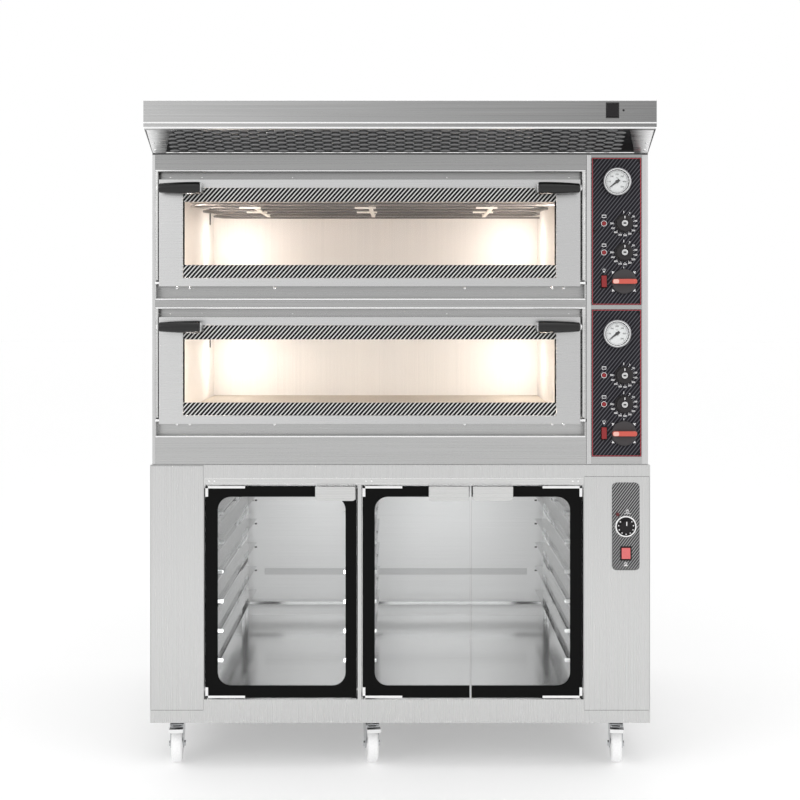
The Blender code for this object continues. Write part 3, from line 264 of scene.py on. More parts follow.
def brushed_steel(name, colour, grain, smooth=0.20, rough=0.38, painted_light_fade=None, streak=0.07, metallic=1.0):
    """Stainless sheet brushed along one axis, clouded, or with painted light and shade that make it lighter
    toward one end.
    """
    made, nodes, links, shader = new_finish(name, colour, rough, metallic)
    scratches = add_noise(nodes, links, GRAINS[grain], 5.0)
    links.new(add_range(nodes, links, scratches, smooth, rough), shader.inputs["Roughness"])
    blend = nodes.new("ShaderNodeMath")
    blend.operation = "ADD"
    # The fade along an axis is painted light and shade.
    if painted_light_fade:
        axis, start, end, low, high = painted_light_fade
        place = nodes.new("ShaderNodeTexCoord")
        split = nodes.new("ShaderNodeSeparateXYZ")
        links.new(place.outputs["Object"], split.inputs[0])
        links.new(add_range(nodes, links, split.outputs[axis], 0.0, 0.8, start, end), blend.inputs[0])
        links.new(add_range(nodes, links, scratches, 0.0, 0.2), blend.inputs[1])
        add_tint(nodes, links, blend.outputs[0], shader, colour, low, high)
    else:
        clouds = add_noise(nodes, links, (1.6, 1.6, 1.6), 2.0)
        links.new(add_range(nodes, links, scratches, 0.0, 0.5), blend.inputs[0])
        links.new(add_range(nodes, links, clouds, 0.0, 0.5), blend.inputs[1])
        add_tint(nodes, links, blend.outputs[0], shader, colour, 1.0 - streak, 1.0 + streak)
    add_bump(nodes, links, scratches, shader, 0.8 * streak, 0.0004)
    return made


def plain_metal(name, colour, rough, mottle=0.06):
    """Plated or polished metal with a slight mottle."""
    made, nodes, links, shader = new_finish(name, colour, rough, 1.0)
    spots = add_noise(nodes, links, (60.0, 60.0, 60.0), 3.0)
    links.new(add_range(nodes, links, spots, rough * 0.8, rough * 1.3), shader.inputs["Roughness"])
    add_tint(nodes, links, spots, shader, colour, 1.0 - mottle, 1.0 + mottle)
    return made


# The oven's steel is painted darker toward the top: painted shade under the hood.
oven_steel_painted_shade = brushed_steel("oven_steel_painted_shade", (0.42, 0.42, 0.418), "x", painted_light_fade=("Z", 1.70, 0.90, 0.74, 1.14))
# The hood's steel is painted lighter toward its left end: painted light that falls off across the hood.
hood_steel_painted_light = brushed_steel("hood_steel_painted_light", (0.32, 0.32, 0.319), "x", painted_light_fade=("X", 0.69, -0.69, 0.62, 1.56))
# The doors' steel is painted lighter on the left and darker on the right: painted light and shade.
door_steel_painted_light = brushed_steel("door_steel_painted_light", (0.60, 0.60, 0.60), "x", painted_light_fade=("X", -0.66, 0.52, 1.03, 0.85))
cabinet_steel = brushed_steel("cabinet_steel", (0.585, 0.585, 0.582), "z", streak=0.035)
trim_steel = brushed_steel("trim_steel", (0.585, 0.585, 0.585), "z")
rail_steel = brushed_steel("rail_steel", (0.62, 0.62, 0.615), "x")
# A brighter copy of the steel: a painted highlight on rounded edges and folds that face the light.
highlight_steel = brushed_steel("highlight_steel", (0.88, 0.88, 0.88), "x", 0.16, 0.28)
inner_steel = brushed_steel("inner_steel", (0.70, 0.70, 0.70), "x", 0.02, 0.06)
back_steel = brushed_steel("back_steel", (0.82, 0.82, 0.82), "x", 0.30, 0.42, metallic=0.3)
floor_steel = brushed_steel("floor_steel", (0.84, 0.84, 0.84), "x", 0.10, 0.20)
# A grey copy of the back wall's steel: a painted reflection across the bays' back wall.
reflection_band_steel = brushed_steel("reflection_band_steel", (0.60, 0.60, 0.60), "x", 0.30, 0.42, metallic=0.3)
runner_steel = brushed_steel("runner_steel", (0.74, 0.74, 0.74), "y", 0.05, 0.12)
lining_steel = brushed_steel("lining_steel", (0.86, 0.815, 0.775), "z", 0.30, 0.50, metallic=0.3)
ceiling_steel = brushed_steel("ceiling_steel", (0.34, 0.31, 0.29), "x", 0.30, 0.50, metallic=0.4)
filter_steel = brushed_steel("filter_steel", (0.045, 0.045, 0.047), "x", 0.28, 0.45)
louvre_steel = brushed_steel("louvre_steel", (0.16, 0.16, 0.162), "x", 0.24, 0.40)
# The cheeks' steel is painted pale at the outer end and dark toward the filter: a painted highlight fading
# into painted shade.
CHEEK_GREY, CHEEK_SHADE_X, CHEEK_HIGHLIGHT_X = (0.50, 0.50, 0.50), 0.618, 0.680
left_cheek_painted_light = brushed_steel("left_cheek_painted_light", CHEEK_GREY, "x",
                                 painted_light_fade=("X", -CHEEK_SHADE_X, -CHEEK_HIGHLIGHT_X, 0.12, 2.0))
right_cheek_painted_light = brushed_steel("right_cheek_painted_light", CHEEK_GREY, "x",
                                  painted_light_fade=("X", CHEEK_SHADE_X, CHEEK_HIGHLIGHT_X, 0.12, 2.0))
bright_steel = plain_metal("bright_steel", (0.86, 0.86, 0.86), 0.12)
cap_steel = plain_metal("cap_steel", (0.62, 0.62, 0.62), 0.18)
bezel_steel = plain_metal("bezel_steel", (0.36, 0.36, 0.37), 0.16)
zinc_plate = plain_metal("zinc_plate", (0.52, 0.53, 0.54), 0.18, 0.12)
sheath_steel = plain_metal("sheath_steel", (0.20, 0.185, 0.175), 0.40, 0.20)
probe_metal = plain_metal("probe_metal", (0.04, 0.04, 0.04), 0.45, 0.20)
print("metals are ready")

# %% Plastics, stone and paint
def moulded(name, colour, rough, grain=0.05, fine=900.0, shine=0.5):
    """Moulded plastic with a fine spark-eroded grain."""
    made, nodes, links, shader = new_finish(name, colour, rough)
    shader.inputs["Specular IOR Level"].default_value = shine
    pores = add_noise(nodes, links, (fine, fine, fine), 2.0)
    links.new(add_range(nodes, links, pores, rough * 0.85, rough * 1.15), shader.inputs["Roughness"])
    add_tint(nodes, links, pores, shader, colour, 0.90, 1.10)
    add_bump(nodes, links, pores, shader, grain, 0.0003)
    return made


def glowing(name, colour, strength, rough=0.25):
    """A lit cap or lamp glass."""
    made, nodes, links, shader = new_finish(name, colour, rough)
    pores = add_noise(nodes, links, (300.0, 300.0, 300.0), 1.0)
    add_tint(nodes, links, pores, shader, colour, 0.85, 1.15)
    shader.inputs["Emission Color"].default_value = (*colour, 1.0)
    shader.inputs["Emission Strength"].default_value = strength
    return made


grip_black = moulded("grip_black", (0.004, 0.004, 0.004), 0.22, shine=0.45)
knob_grey = moulded("knob_grey", (0.022, 0.020, 0.021), 0.42, shine=0.25)
switch_grey = moulded("switch_grey", (0.050, 0.046, 0.048), 0.45, shine=0.25)
bar_red = moulded("bar_red", (0.54, 0.085, 0.060), 0.36)
tip_pink = moulded("tip_pink", (0.78, 0.44, 0.38), 0.35)
key_pink = glowing("key_pink", (0.60, 0.13, 0.13), 0.10, 0.22)
pilot_red = moulded("pilot_red", (0.10, 0.012, 0.016), 0.30)
key_red = moulded("key_red", (0.25, 0.010, 0.012), 0.20)
lamp_red = glowing("lamp_red", (0.22, 0.008, 0.011), 0.02)
seam_grey = moulded("seam_grey", (0.16, 0.16, 0.16), 0.45)
rim_black = moulded("rim_black", (0.012, 0.011, 0.012), 0.35, shine=0.2)
nylon_white = moulded("nylon_white", (0.92, 0.92, 0.92), 0.40, 0.03, 240.0)
dial_white = moulded("dial_white", (0.94, 0.94, 0.94), 0.35, 0.01)
ink_white = moulded("ink_white", (0.92, 0.91, 0.92), 0.45, 0.01)
ink_grey = moulded("ink_grey", (0.20, 0.20, 0.20), 0.45, 0.01)
ink_black = moulded("ink_black", (0.012, 0.012, 0.012), 0.45, 0.01)
ink_red = moulded("ink_red", (0.50, 0.045, 0.055), 0.45, 0.01)
ceramic = moulded("ceramic", (0.84, 0.80, 0.74), 0.55, 0.08, 200.0)
fire_stone = moulded("fire_stone", (0.66, 0.58, 0.49), 0.80, 0.25, 120.0)
lower_glow = glowing("lower_glow", (1.0, 0.97, 0.93), 100.0)
upper_glow = glowing("upper_glow", (1.0, 0.93, 0.89), 52.0)
CHAMBER_GLOW = {"lower": lower_glow, "upper": upper_glow}
print("made", len(bpy.data.materials), "finishes so far")

# %% [markdown]
# ## Printed stripes and glass
#
# The control plates and the door glass carry a print of fine slanting stripes.
# A dot product with a slanted direction counts stripes across a panel, and a
# ping-pong of that count tells ink from ground. Glass bends light, but lets
# lamps through unbent, as a thin pane does.

# %% Stripes and glass
def striped(name, ground, line, pitch, slope, share):
    """Ink stripes that rise to the right, `pitch` apart and `share` of it wide."""
    made, nodes, links, shader = new_finish(name, ground, 0.35)
    shader.inputs["Specular IOR Level"].default_value = 0.15
    place = nodes.new("ShaderNodeTexCoord")
    count = nodes.new("ShaderNodeVectorMath")
    count.operation = "DOT_PRODUCT"
    angle = math.radians(slope)
    count.inputs[1].default_value = (-math.sin(angle) / pitch, 0.0, math.cos(angle) / pitch)
    links.new(place.outputs["Object"], count.inputs[0])
    fold = nodes.new("ShaderNodeMath")
    fold.operation = "PINGPONG"
    fold.inputs[1].default_value = 0.5
    links.new(count.outputs["Value"], fold.inputs[0])
    edge = 0.5 - share / 2
    ink = add_range(nodes, links, fold.outputs[0], 0.0, 1.0, edge - 0.03, edge + 0.03)
    add_mix(nodes, links, ink, shader, ground, line)
    grain = add_noise(nodes, links, (700.0, 700.0, 700.0), 2.0)
    add_bump(nodes, links, grain, shader, 0.03, 0.0002)
    return made


def clear_glass(name, tint):
    """A flat pane: it bends sight a little, and lamps shine straight through."""
    made, nodes, links, shader = new_finish(name, tint, 0.0)
    shader.inputs["Transmission Weight"].default_value = 1.0
    shader.inputs["IOR"].default_value = 1.45
    ray = nodes.new("ShaderNodeLightPath")
    clear = nodes.new("ShaderNodeBsdfTransparent")
    mix = nodes.new("ShaderNodeMixShader")
    links.new(ray.outputs["Is Shadow Ray"], mix.inputs[0])
    links.new(shader.outputs["BSDF"], mix.inputs[1])
    links.new(clear.outputs["BSDF"], mix.inputs[2])
    links.new(mix.outputs[0], nodes["Material Output"].inputs["Surface"])
    return made


plate_print = striped("plate_print", (0.008, 0.007, 0.011), (0.090, 0.090, 0.101), 0.0082, 51.0, 0.28)
door_print = striped("door_print", (0.006, 0.006, 0.006), (0.60, 0.60, 0.59), 0.0088, 48.0, 0.34)
small_print = striped("small_print", (0.030, 0.030, 0.032), (0.32, 0.32, 0.32), 0.0061, 53.0, 0.40)
pane_glass = clear_glass("pane_glass", (0.97, 0.98, 0.98))
border_black = moulded("border_black", (0.004, 0.004, 0.004), 0.10, 0.0, shine=0.06)
print("all", len(bpy.data.materials), "finishes are ready")

# %% [markdown]
# ## Working by hand, in code
#
# An operator acts on all that is selected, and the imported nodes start
# selected. So each step deselects everything, makes one primitive at its size
# and place, applies that to its mesh, and then selects faces or edges by where
# they lie.

# %% Helpers that select
def start_fresh(piece=None):
    """Leaves edit mode and selects only the piece, or nothing."""
    if bpy.context.object and bpy.context.object.mode != "OBJECT":
        bpy.ops.object.mode_set(mode="OBJECT")
    bpy.ops.object.select_all(action="DESELECT")
    if piece:
        piece.select_set(True)
        bpy.context.view_layer.objects.active = piece


def choose(piece, kind, test):
    """Opens the piece in edit mode with what passes the test selected."""
    start_fresh(piece)
    bpy.ops.object.mode_set(mode="EDIT")
    bpy.ops.mesh.select_mode(type=kind)
    bpy.ops.mesh.select_all(action="DESELECT")
    bpy.ops.object.mode_set(mode="OBJECT")
    mesh = piece.data
    if kind == "FACE":
        for face in mesh.polygons:
            face.select = test(face.center, face.normal)
    elif kind == "EDGE":
        for edge in mesh.edges:
            a, b = (mesh.vertices[i].co for i in edge.vertices)
            edge.select = test(a, b)
    else:
        for point in mesh.vertices:
            point.select = test(point.co)
    bpy.ops.object.mode_set(mode="EDIT")


def settle(piece):
    """Applies the place, turn and size to the mesh."""
    start_fresh(piece)
    bpy.ops.object.transform_apply(location=True, rotation=True, scale=True)
    return piece


print("selection helpers are ready")

# %% Helpers that shape
FRONT, UP = (0.0, -1.0, 0.0), (0.0, 0.0, 1.0)


def block(low, high):
    """A box primitive between two corners, ready to be shaped."""
    start_fresh()
    low, high = Vector(low), Vector(high)
    bpy.ops.mesh.primitive_cube_add(size=1.0, location=(low + high) / 2)
    piece = bpy.context.object
    piece.scale = high - low
    return settle(piece)


def ease(piece, width, segments=2, angle=30.0):
    """Rounds every sharp edge with a Bevel modifier."""
    start_fresh(piece)
    step = piece.modifiers.new("ease", "BEVEL")
    step.width = width
    step.segments = segments
    step.limit_method = "ANGLE"
    step.angle_limit = math.radians(angle)
    bpy.ops.object.modifier_apply(modifier="ease")
    return piece


def round_edges(piece, radius, test, segments):
    """Bevels the edges whose two ends pass the test."""
    choose(piece, "EDGE", test)
    bpy.ops.mesh.bevel(offset=radius, offset_type="OFFSET", segments=segments, profile=0.5)
    bpy.ops.object.mode_set(mode="OBJECT")
    return piece


def along(axis):
    """A test for edges that run along one axis: 0, 1 or 2."""
    return lambda a, b: all(abs(a[i] - b[i]) < 1e-6 for i in range(3) if i != axis)


def turned(profile, base, axis, steps):
    """A round piece: a circle is extruded and resized along (radius, height) points."""
    start_fresh()
    solid = profile[0][0] == 0.0
    rings = profile[1:-1] if solid else profile
    radius, at = rings[0]
    bpy.ops.mesh.primitive_circle_add(vertices=steps, radius=radius, location=(0.0, 0.0, at),
                                      fill_type="NGON" if solid else "NOTHING")
    piece = bpy.context.object
    bpy.ops.object.mode_set(mode="EDIT")
    bpy.ops.mesh.select_mode(type="EDGE")
    bpy.ops.mesh.select_all(action="SELECT")
    for next_radius, next_height in rings[1:]:
        bpy.ops.mesh.extrude_edges_move(TRANSFORM_OT_translate={"value": (0.0, 0.0, next_height - at)})
        share = next_radius / radius
        bpy.ops.transform.resize(value=(share, share, 1.0), center_override=(0.0, 0.0, next_height))
        radius, at = next_radius, next_height
    if solid:
        bpy.ops.mesh.edge_face_add()
    else:
        bpy.ops.mesh.select_all(action="SELECT")
        bpy.ops.mesh.remove_doubles(threshold=1e-6)
    bpy.ops.mesh.select_all(action="SELECT")
    bpy.ops.mesh.normals_make_consistent(inside=False)
    bpy.ops.object.mode_set(mode="OBJECT")
    settle(piece)
    piece.rotation_euler = Vector(UP).rotation_difference(Vector(axis)).to_euler()
    piece.location = base
    return settle(piece)


def lean(piece, angle, about):
    """Turns a piece clockwise, as seen from the front."""
    start_fresh(piece)
    bpy.ops.object.mode_set(mode="EDIT")
    bpy.ops.mesh.select_all(action="SELECT")
    # With no window this operator turns the other way, so the angle is negative.
    bpy.ops.transform.rotate(value=-math.radians(angle), orient_axis="Y", center_override=about)
    bpy.ops.object.mode_set(mode="OBJECT")
    return piece


def copy_of(piece, move=(0.0, 0.0, 0.0)):
    """A copy with its own mesh, moved."""
    start_fresh(piece)
    bpy.ops.object.duplicate(linked=False)
    made = bpy.context.object
    made.parent = None
    for key in [key for key in made.keys() if key.startswith("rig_")]:
        del made[key]
    made.location = move
    return settle(made)


def join(pieces):
    """Makes several pieces one."""
    start_fresh(pieces[0])
    for piece in pieces:
        piece.select_set(True)
    bpy.ops.object.join()
    return bpy.context.object


def merged_node(node):
    """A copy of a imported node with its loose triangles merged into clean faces."""
    piece = copy_of(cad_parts[node])
    choose(piece, "FACE", lambda centre, normal: True)
    bpy.ops.mesh.remove_doubles(threshold=1e-6)
    bpy.ops.mesh.dissolve_limited(angle_limit=math.radians(1.0))
    bpy.ops.object.mode_set(mode="OBJECT")
    return piece


print("shaping helpers are ready")

# %% Helpers that finish
def flat_normals(piece):
    """Keeps broad faces flat beside rounded edges with a Weighted Normal modifier."""
    start_fresh(piece)
    step = piece.modifiers.new("flat", "WEIGHTED_NORMAL")
    step.mode = "FACE_AREA"
    step.weight = 80
    step.keep_sharp = True
    bpy.ops.object.modifier_apply(modifier="flat")


def finish_piece(piece, name, body, finish, smooth=35.0):
    """Names a piece, gives it its finish and sets it on its body."""
    start_fresh(piece)
    piece.name = piece.data.name = name
    piece.data.materials.clear()
    piece.data.materials.append(finish)
    bpy.ops.object.shade_smooth_by_angle(angle=math.radians(smooth))
    flat_normals(piece)
    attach(piece, body)
    return piece


def dress_node(node, name, body, finish, width=0.0, segments=2, smooth=35.0):
    """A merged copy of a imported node, with its edges eased, that stands for the node."""
    piece = merged_node(node)
    if width:
        ease(piece, width, segments)
    finish_piece(piece, name, body, finish, smooth)
    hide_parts(node)
    return piece


def paint_edge_highlights(piece, finish):
    """Gives the rounded edges, whose faces lie slantwise, a brighter metal: a painted highlight."""
    piece.data.materials.append(finish)
    number = len(piece.data.materials) - 1
    for face in piece.data.polygons:
        if max(abs(part) for part in face.normal) < 0.99 and face.area < 0.004:
            face.material_index = number


print("finishing helpers are ready")

# %% [markdown]
# ## The proofing cabinet
#
# The cabinet is folded sheet. A fold isn't a knife edge: it has a small radius
# that catches the light as a thin bright line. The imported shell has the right
# shape, so a copy is merged and its edges are eased. Outside it is brushed.
# Inside the bays the side walls are polished, the back wall is satin, and the
# floor and roof lie between the two.

# %% Ease the cabinet's folds
BAY_LEFT_X, BAY_RIGHT_X = -0.5415, 0.5065
BAY_LOW_Z, BAY_HIGH_Z = 0.187, 0.84
SIDE_WALL, BACK_WALL, FLOOR_OR_ROOF = 1, 2, 3
shell_low, shell_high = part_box("base_cabinet")
cabinet = dress_node("base_cabinet", "cabinet_shell", "oven", cabinet_steel, 0.0005)
for finish in (inner_steel, back_steel, floor_steel):
    cabinet.data.materials.append(finish)


def faces_a_bay(middle):
    """Tells the faces inside the bays from those on the outside."""
    return (BAY_LEFT_X < middle.x < BAY_RIGHT_X and BAY_LOW_Z < middle.z < BAY_HIGH_Z
            and shell_low.y + 0.002 < middle.y < shell_high.y - 0.0008)


for face in [face for face in cabinet.data.polygons if faces_a_bay(face.center)]:
    if abs(face.normal.x) > 0.5:
        face.material_index = SIDE_WALL
    elif abs(face.normal.z) > 0.5:
        face.material_index = FLOOR_OR_ROOF
    else:
        face.material_index = BACK_WALL

SEAM = 0.0007
for side in ("left", "right"):
    node = f"{side}_front_cover"
    dress_node(node, f"{side}_cover", "oven", cabinet_steel, 0.0006)
    low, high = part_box(node)
    lines = [block((low.x + 0.001, low.y - 0.0002, z - SEAM), (high.x - 0.001, low.y + 0.0004, z + SEAM))
             for z in (low.z, high.z)]
    finish_piece(ease(join(lines), 0.0002, 1), f"{side}_cover_seams", "oven", seam_grey)
print("the cabinet is", round(shell_high.x - shell_low.x, 3), "m wide")

# %% [markdown]
# A grey line shows where each cover meets the frame at its top and bottom, and
# small screws hold the door hinges to the header strip. A screw head is a low
# dome with a hollow in it: a turned disc, made again at each place.

# %% Screw heads on the cabinet
CABINET_FACE_Y = shell_low.y
STRIP_LOW_Z, STRIP_HIGH_Z, HEADER_SCREW_Z = 0.7905, 0.8050, 0.7980


def screw(place, radius, axis=FRONT):
    """A low domed head with a hollow for the driver."""
    return turned([(0.0, -0.0005), (radius, -0.0005), (radius, radius * 0.15), (radius * 0.8, radius * 0.38),
                   (radius * 0.42, radius * 0.46), (radius * 0.30, radius * 0.20), (0.0, radius * 0.20)],
                  place, axis, 16)


strip = block((-0.5400, CABINET_FACE_Y - 0.0010, STRIP_LOW_Z),
              (0.5050, CABINET_FACE_Y + 0.0004, STRIP_HIGH_Z))
finish_piece(ease(strip, 0.0007, 3), "header_strip", "oven", rail_steel)
# The strip's rounded edges get a painted highlight.
paint_edge_highlights(strip, highlight_steel)
header_screws = [screw((x, CABINET_FACE_Y - 0.0010, HEADER_SCREW_Z), 0.0032)
                 for x in (-0.527, -0.512, -0.094, -0.079, 0.476, 0.491)]
finish_piece(join(header_screws), "header_screws", "oven", bright_steel)
print("header strip and its screws made")

# %% [markdown]
# ## Tray racks
#
# Six runners a side carry trays in each bay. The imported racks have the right
# shape. A white tip caps the front end of each runner, and the rear uprights
# have pairs of punched slots that the runners hook into.

# %% Dress the racks
RUNNER_LEVELS = [0.289 + 0.0826 * level for level in range(6)]
rack_sides = []
for side in ("left", "right"):
    node = f"{side}_tray_rack"
    dress_node(node, f"{side}_rack", "oven", runner_steel, 0.0003, 1)
    rack_low, rack_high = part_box(node)
    rack_sides += [(rack_low.x, 1), (rack_high.x, -1)]
print("rack walls at x =", [round(x, 4) for x, _ in rack_sides])

# %% Tips and slots
TIP_Y = rack_low.y
REAR_UPRIGHT_Y = rack_high.y - 0.024
BAY_BACK_Y = shell_high.y - 0.0015
tips, slots = [], []
for wall_x, inward in rack_sides:
    for z in RUNNER_LEVELS:
        a, b = sorted((wall_x + inward * 0.0265, wall_x + inward * 0.0445))
        tips.append(block((a, TIP_Y - 0.004, z - 0.0040), (b, TIP_Y + 0.010, z + 0.0034)))
        face_x = wall_x + inward * 0.010
        a, b = sorted((face_x - inward * 0.001, face_x + inward * 0.0003))
        for y in (REAR_UPRIGHT_Y + 0.003, REAR_UPRIGHT_Y + 0.014):
            slots.append(block((a, y, z + 0.052), (b, y + 0.007, z + 0.060)))
        for near in (0.0015, 0.0140):
            a, b = sorted((face_x + inward * near, face_x + inward * (near + 0.0085)))
            slots.append(block((a, BAY_BACK_Y - 0.0006, z + 0.053), (b, BAY_BACK_Y + 0.0004, z + 0.0585)))
finish_piece(ease(join(tips), 0.0008), "runner_tips", "oven", nylon_white)
finish_piece(ease(join(slots), 0.0004, 1), "upright_slots", "oven", rim_black)
# A grey band across the bays' back wall is a painted reflection.
band = block((BAY_LEFT_X + 0.060, BAY_BACK_Y - 0.0012, 0.3300),
             (BAY_RIGHT_X - 0.060, BAY_BACK_Y + 0.0004, 0.3530))
finish_piece(ease(band, 0.0006), "painted_reflection_band", "oven", reflection_band_steel)
print("runner tips:", len(tips), "slots:", len(slots))

# %% [markdown]
# ## Glass doors of the cabinet
#
# Three frameless glass leaves swing on corner straps. A black border is printed
# round each window. Its inner corners are round, apart from where the two
# right-hand leaves meet. The border is one thin sheet: a plane is cut by planes
# along the window's edges, the window's face is deleted, its corners are
# bevelled, and Solidify gives it a thickness.

# %% Borders, leaves and straps
BORDER = {"left": (0.0340, 0.0305), "middle": (0.0335, 0.0), "right": (0.0, 0.0335)}
BORDER_TOP, BORDER_BOTTOM, BORDER_CORNER = 0.0300, 0.0345, 0.036
GLASS_Y, GLASS_THICKNESS = -0.431, 0.006
HINGE_SIDE = {"left": -1, "middle": -1, "right": 1}
PRINT, PRINT_INSET = 0.0003, 0.0004
STRAP, STRAP_LENGTH, RISER_WIDTH, RISER_HEIGHT = 0.007, 0.110, 0.008, 0.030


def printed_border(low, high, left, right):
    """A flat border with a round-cornered window, in the XZ plane."""
    start_fresh()
    bpy.ops.mesh.primitive_plane_add(size=1.0, location=(0.0, 0.0, 0.0),
                                     rotation=(math.radians(90.0), 0.0, 0.0))
    piece = settle(bpy.context.object)
    piece.scale = (high.x - low.x, 1.0, high.z - low.z)
    piece.location = ((low.x + high.x) / 2, low.y, (low.z + high.z) / 2)
    settle(piece)
    bpy.ops.object.mode_set(mode="EDIT")
    window = (low.x + left, high.x - right, low.z + BORDER_BOTTOM, high.z - BORDER_TOP)
    for number, normal in zip(window, ((1, 0, 0), (1, 0, 0), (0, 0, 1), (0, 0, 1))):
        bpy.ops.mesh.select_all(action="SELECT")
        bpy.ops.mesh.bisect(plane_co=tuple(number * part for part in normal), plane_no=normal)
    choose(piece, "FACE", lambda middle, _: window[0] < middle.x < window[1]
           and window[2] < middle.z < window[3])
    bpy.ops.mesh.delete(type="FACE")
    round_sides = [x for x, wide in ((window[0], left), (window[1], right)) if wide > 0.0]
    choose(piece, "VERT", lambda co: any(abs(co.x - x) < 1e-5 for x in round_sides)
           and any(abs(co.z - z) < 1e-5 for z in window[2:]))
    bpy.ops.mesh.bevel(offset=BORDER_CORNER, affect="VERTICES", segments=10, profile=0.5)
    bpy.ops.object.mode_set(mode="OBJECT")
    return piece


def thicken(piece, amount):
    """Gives a sheet its thickness with a Solidify modifier."""
    start_fresh(piece)
    step = piece.modifiers.new("thicken", "SOLIDIFY")
    step.thickness = amount
    step.offset = -1.0
    bpy.ops.object.modifier_apply(modifier="thicken")
    return piece


def strap(edge, side, z, upward):
    """An angle that clips a leaf's corner: a long flat and a short riser."""
    made = []
    for length, height in ((STRAP_LENGTH, STRAP), (RISER_WIDTH, RISER_HEIGHT)):
        a, b = sorted((edge, edge - side * length))
        low, high = sorted((z, z + upward * height))
        made.append(block((a, GLASS_Y - 0.0022, low), (b, GLASS_Y + 0.0082, high)))
    return join(made)


for bay in BAYS:
    node, body = f"{bay}_glass_door", f"{bay}_cabinet_door"
    low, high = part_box(node)
    leaf_low = Vector((low.x, GLASS_Y, low.z))
    leaf = block(leaf_low, (high.x, GLASS_Y + GLASS_THICKNESS, high.z))
    finish_piece(ease(leaf, 0.0007), f"{bay}_leaf", body, pane_glass)
    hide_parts(node)
    border = printed_border(leaf_low + Vector((PRINT_INSET, -PRINT, PRINT_INSET)),
                            Vector((high.x - PRINT_INSET, 0.0, high.z - PRINT_INSET)), *BORDER[bay])
    finish_piece(thicken(border, PRINT * 0.8), f"{bay}_border", body, border_black)
    side = HINGE_SIDE[bay]
    edge = low.x if side < 0 else high.x
    straps = join([strap(edge, side, low.z, 1), strap(edge, side, high.z, -1)])
    finish_piece(ease(straps, 0.0006), f"{bay}_straps", body, bright_steel)
print("hung", len(BAYS), "glass leaves")

# %% [markdown]
# ## Pulls
#
# Each leaf is opened by a small plate folded over its top edge. The fold is
# rounded and so are the plate's free corners.

# %% Fold the pulls
for bay in BAYS:
    node = f"{bay}_door_pull"
    low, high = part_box(node)
    pull = merged_node(node)
    round_edges(pull, 0.008, lambda a, b: along(1)(a, b) and abs(a.z - low.z) < 1e-5
                and a.y < low.y + 0.003 and b.y < low.y + 0.003, 5)
    round_edges(pull, 0.0030, lambda a, b: along(0)(a, b) and abs(a.z - high.z) < 1e-5
                and abs(a.y - low.y) < 1e-5, 4)
    ease(pull, 0.0003, 1, 50.0)
    finish_piece(pull, f"{bay}_pull", f"{bay}_cabinet_door", rail_steel)
    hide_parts(node)
print("a pull is", round(high.x - low.x, 3), "m wide")

# %% [markdown]
# ## Oven casing and fascia
#
# The front of the oven is one folded sheet with a shallow recess for each door.
# Round each recess the sheet is folded into a hem, a thin rounded lip. Its level
# strips face up and down and catch the light, and carry a painted highlight: a
# brighter steel than the upright ones. A short stop stands at each side of the
# recess, beside the door.

# %% Casing, fascia and hems
# Casing and fascia take the steel with painted shade toward the top, under the hood.
for part, width in (("casing", 0.0008), ("fascia", 0.0006)):
    dress_node(f"oven_{part}", f"plain_{part}", "oven", oven_steel_painted_shade, width)

FASCIA_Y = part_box("oven_fascia")[0].y
RECESS_X = (-0.674, 0.5095)
RECESS_Z = {"lower": (0.922, 1.273), "upper": (1.3015, 1.6525)}
HEM, HEM_SIDE, HEM_PROUD = 0.0042, 0.00252, 0.0016


def hem_frame(name, left, right, low, high):
    """Four rounded strips round an opening in the fascia."""
    front, back = FASCIA_Y - HEM_PROUD, FASCIA_Y + 0.0040
    far_left, far_right = left - HEM_SIDE, right + HEM_SIDE
    level = [block((far_left, front, low - HEM), (far_right, back, low)),
             block((far_left, front, high), (far_right, back, high + HEM))]
    upright = [block((far_left, front, low), (left, back, high)),
               block((right, front, low), (far_right, back, high))]
    for strip in level + upright:
        ease(strip, 0.0013, 3)
    # The level strips carry a painted highlight, a brighter steel than the upright ones.
    finish_piece(join(level), f"{name}_hem", "oven", highlight_steel)
    finish_piece(join(upright), f"{name}_sides", "oven", rail_steel)


for deck in DECKS:
    hem_frame(f"{deck}_recess", *RECESS_X, *RECESS_Z[deck])
    low, high = RECESS_Z[deck]
    stops = [block((x_low, FASCIA_Y - 0.0012, low + 0.0500), (x_high, FASCIA_Y + 0.012, high + 0.0005))
             for x_low, x_high in ((RECESS_X[0] - 0.0005, RECESS_X[0] + 0.0050),
                                   (RECESS_X[1] - 0.0060, RECESS_X[1] + 0.0005))]
    finish_piece(ease(join(stops), 0.0012, 3), f"{deck}_door_stops", "oven", rail_steel)
print("fascia and hems made")

# %% [markdown]
# A seam parts the door side of the fascia from the control side. Narrow upright
# trims edge the sheet, and two rows of small screws sit in each recess.

# %% Seams and screws of the fascia
FASCIA_LOW_Z, FASCIA_HIGH_Z = 0.8434, 1.6980
TRIMS_X = ((-0.6846, -0.6772), (0.5156, 0.5272), (0.6683, 0.6846))
BIG_SCREWS_X = (-0.622, -0.586, -0.350, 0.180, 0.424, 0.456)
SMALL_SCREWS_X = (-0.640, -0.552, -0.300, 0.130, 0.470)
SCREW_Y = FASCIA_Y + 0.0290
seam = block((0.5145, FASCIA_Y - 0.0002, FASCIA_LOW_Z + 0.0006), (0.5152, FASCIA_Y + 0.0005, FASCIA_HIGH_Z))
finish_piece(ease(seam, 0.0002, 1), "fascia_seam", "oven", rim_black)
trims = [block((x_low, FASCIA_Y - 0.0007, FASCIA_LOW_Z), (x_high, FASCIA_Y + 0.0005, FASCIA_HIGH_Z))
         for x_low, x_high in TRIMS_X]
finish_piece(ease(join(trims), 0.0005), "fascia_trims", "oven", trim_steel)

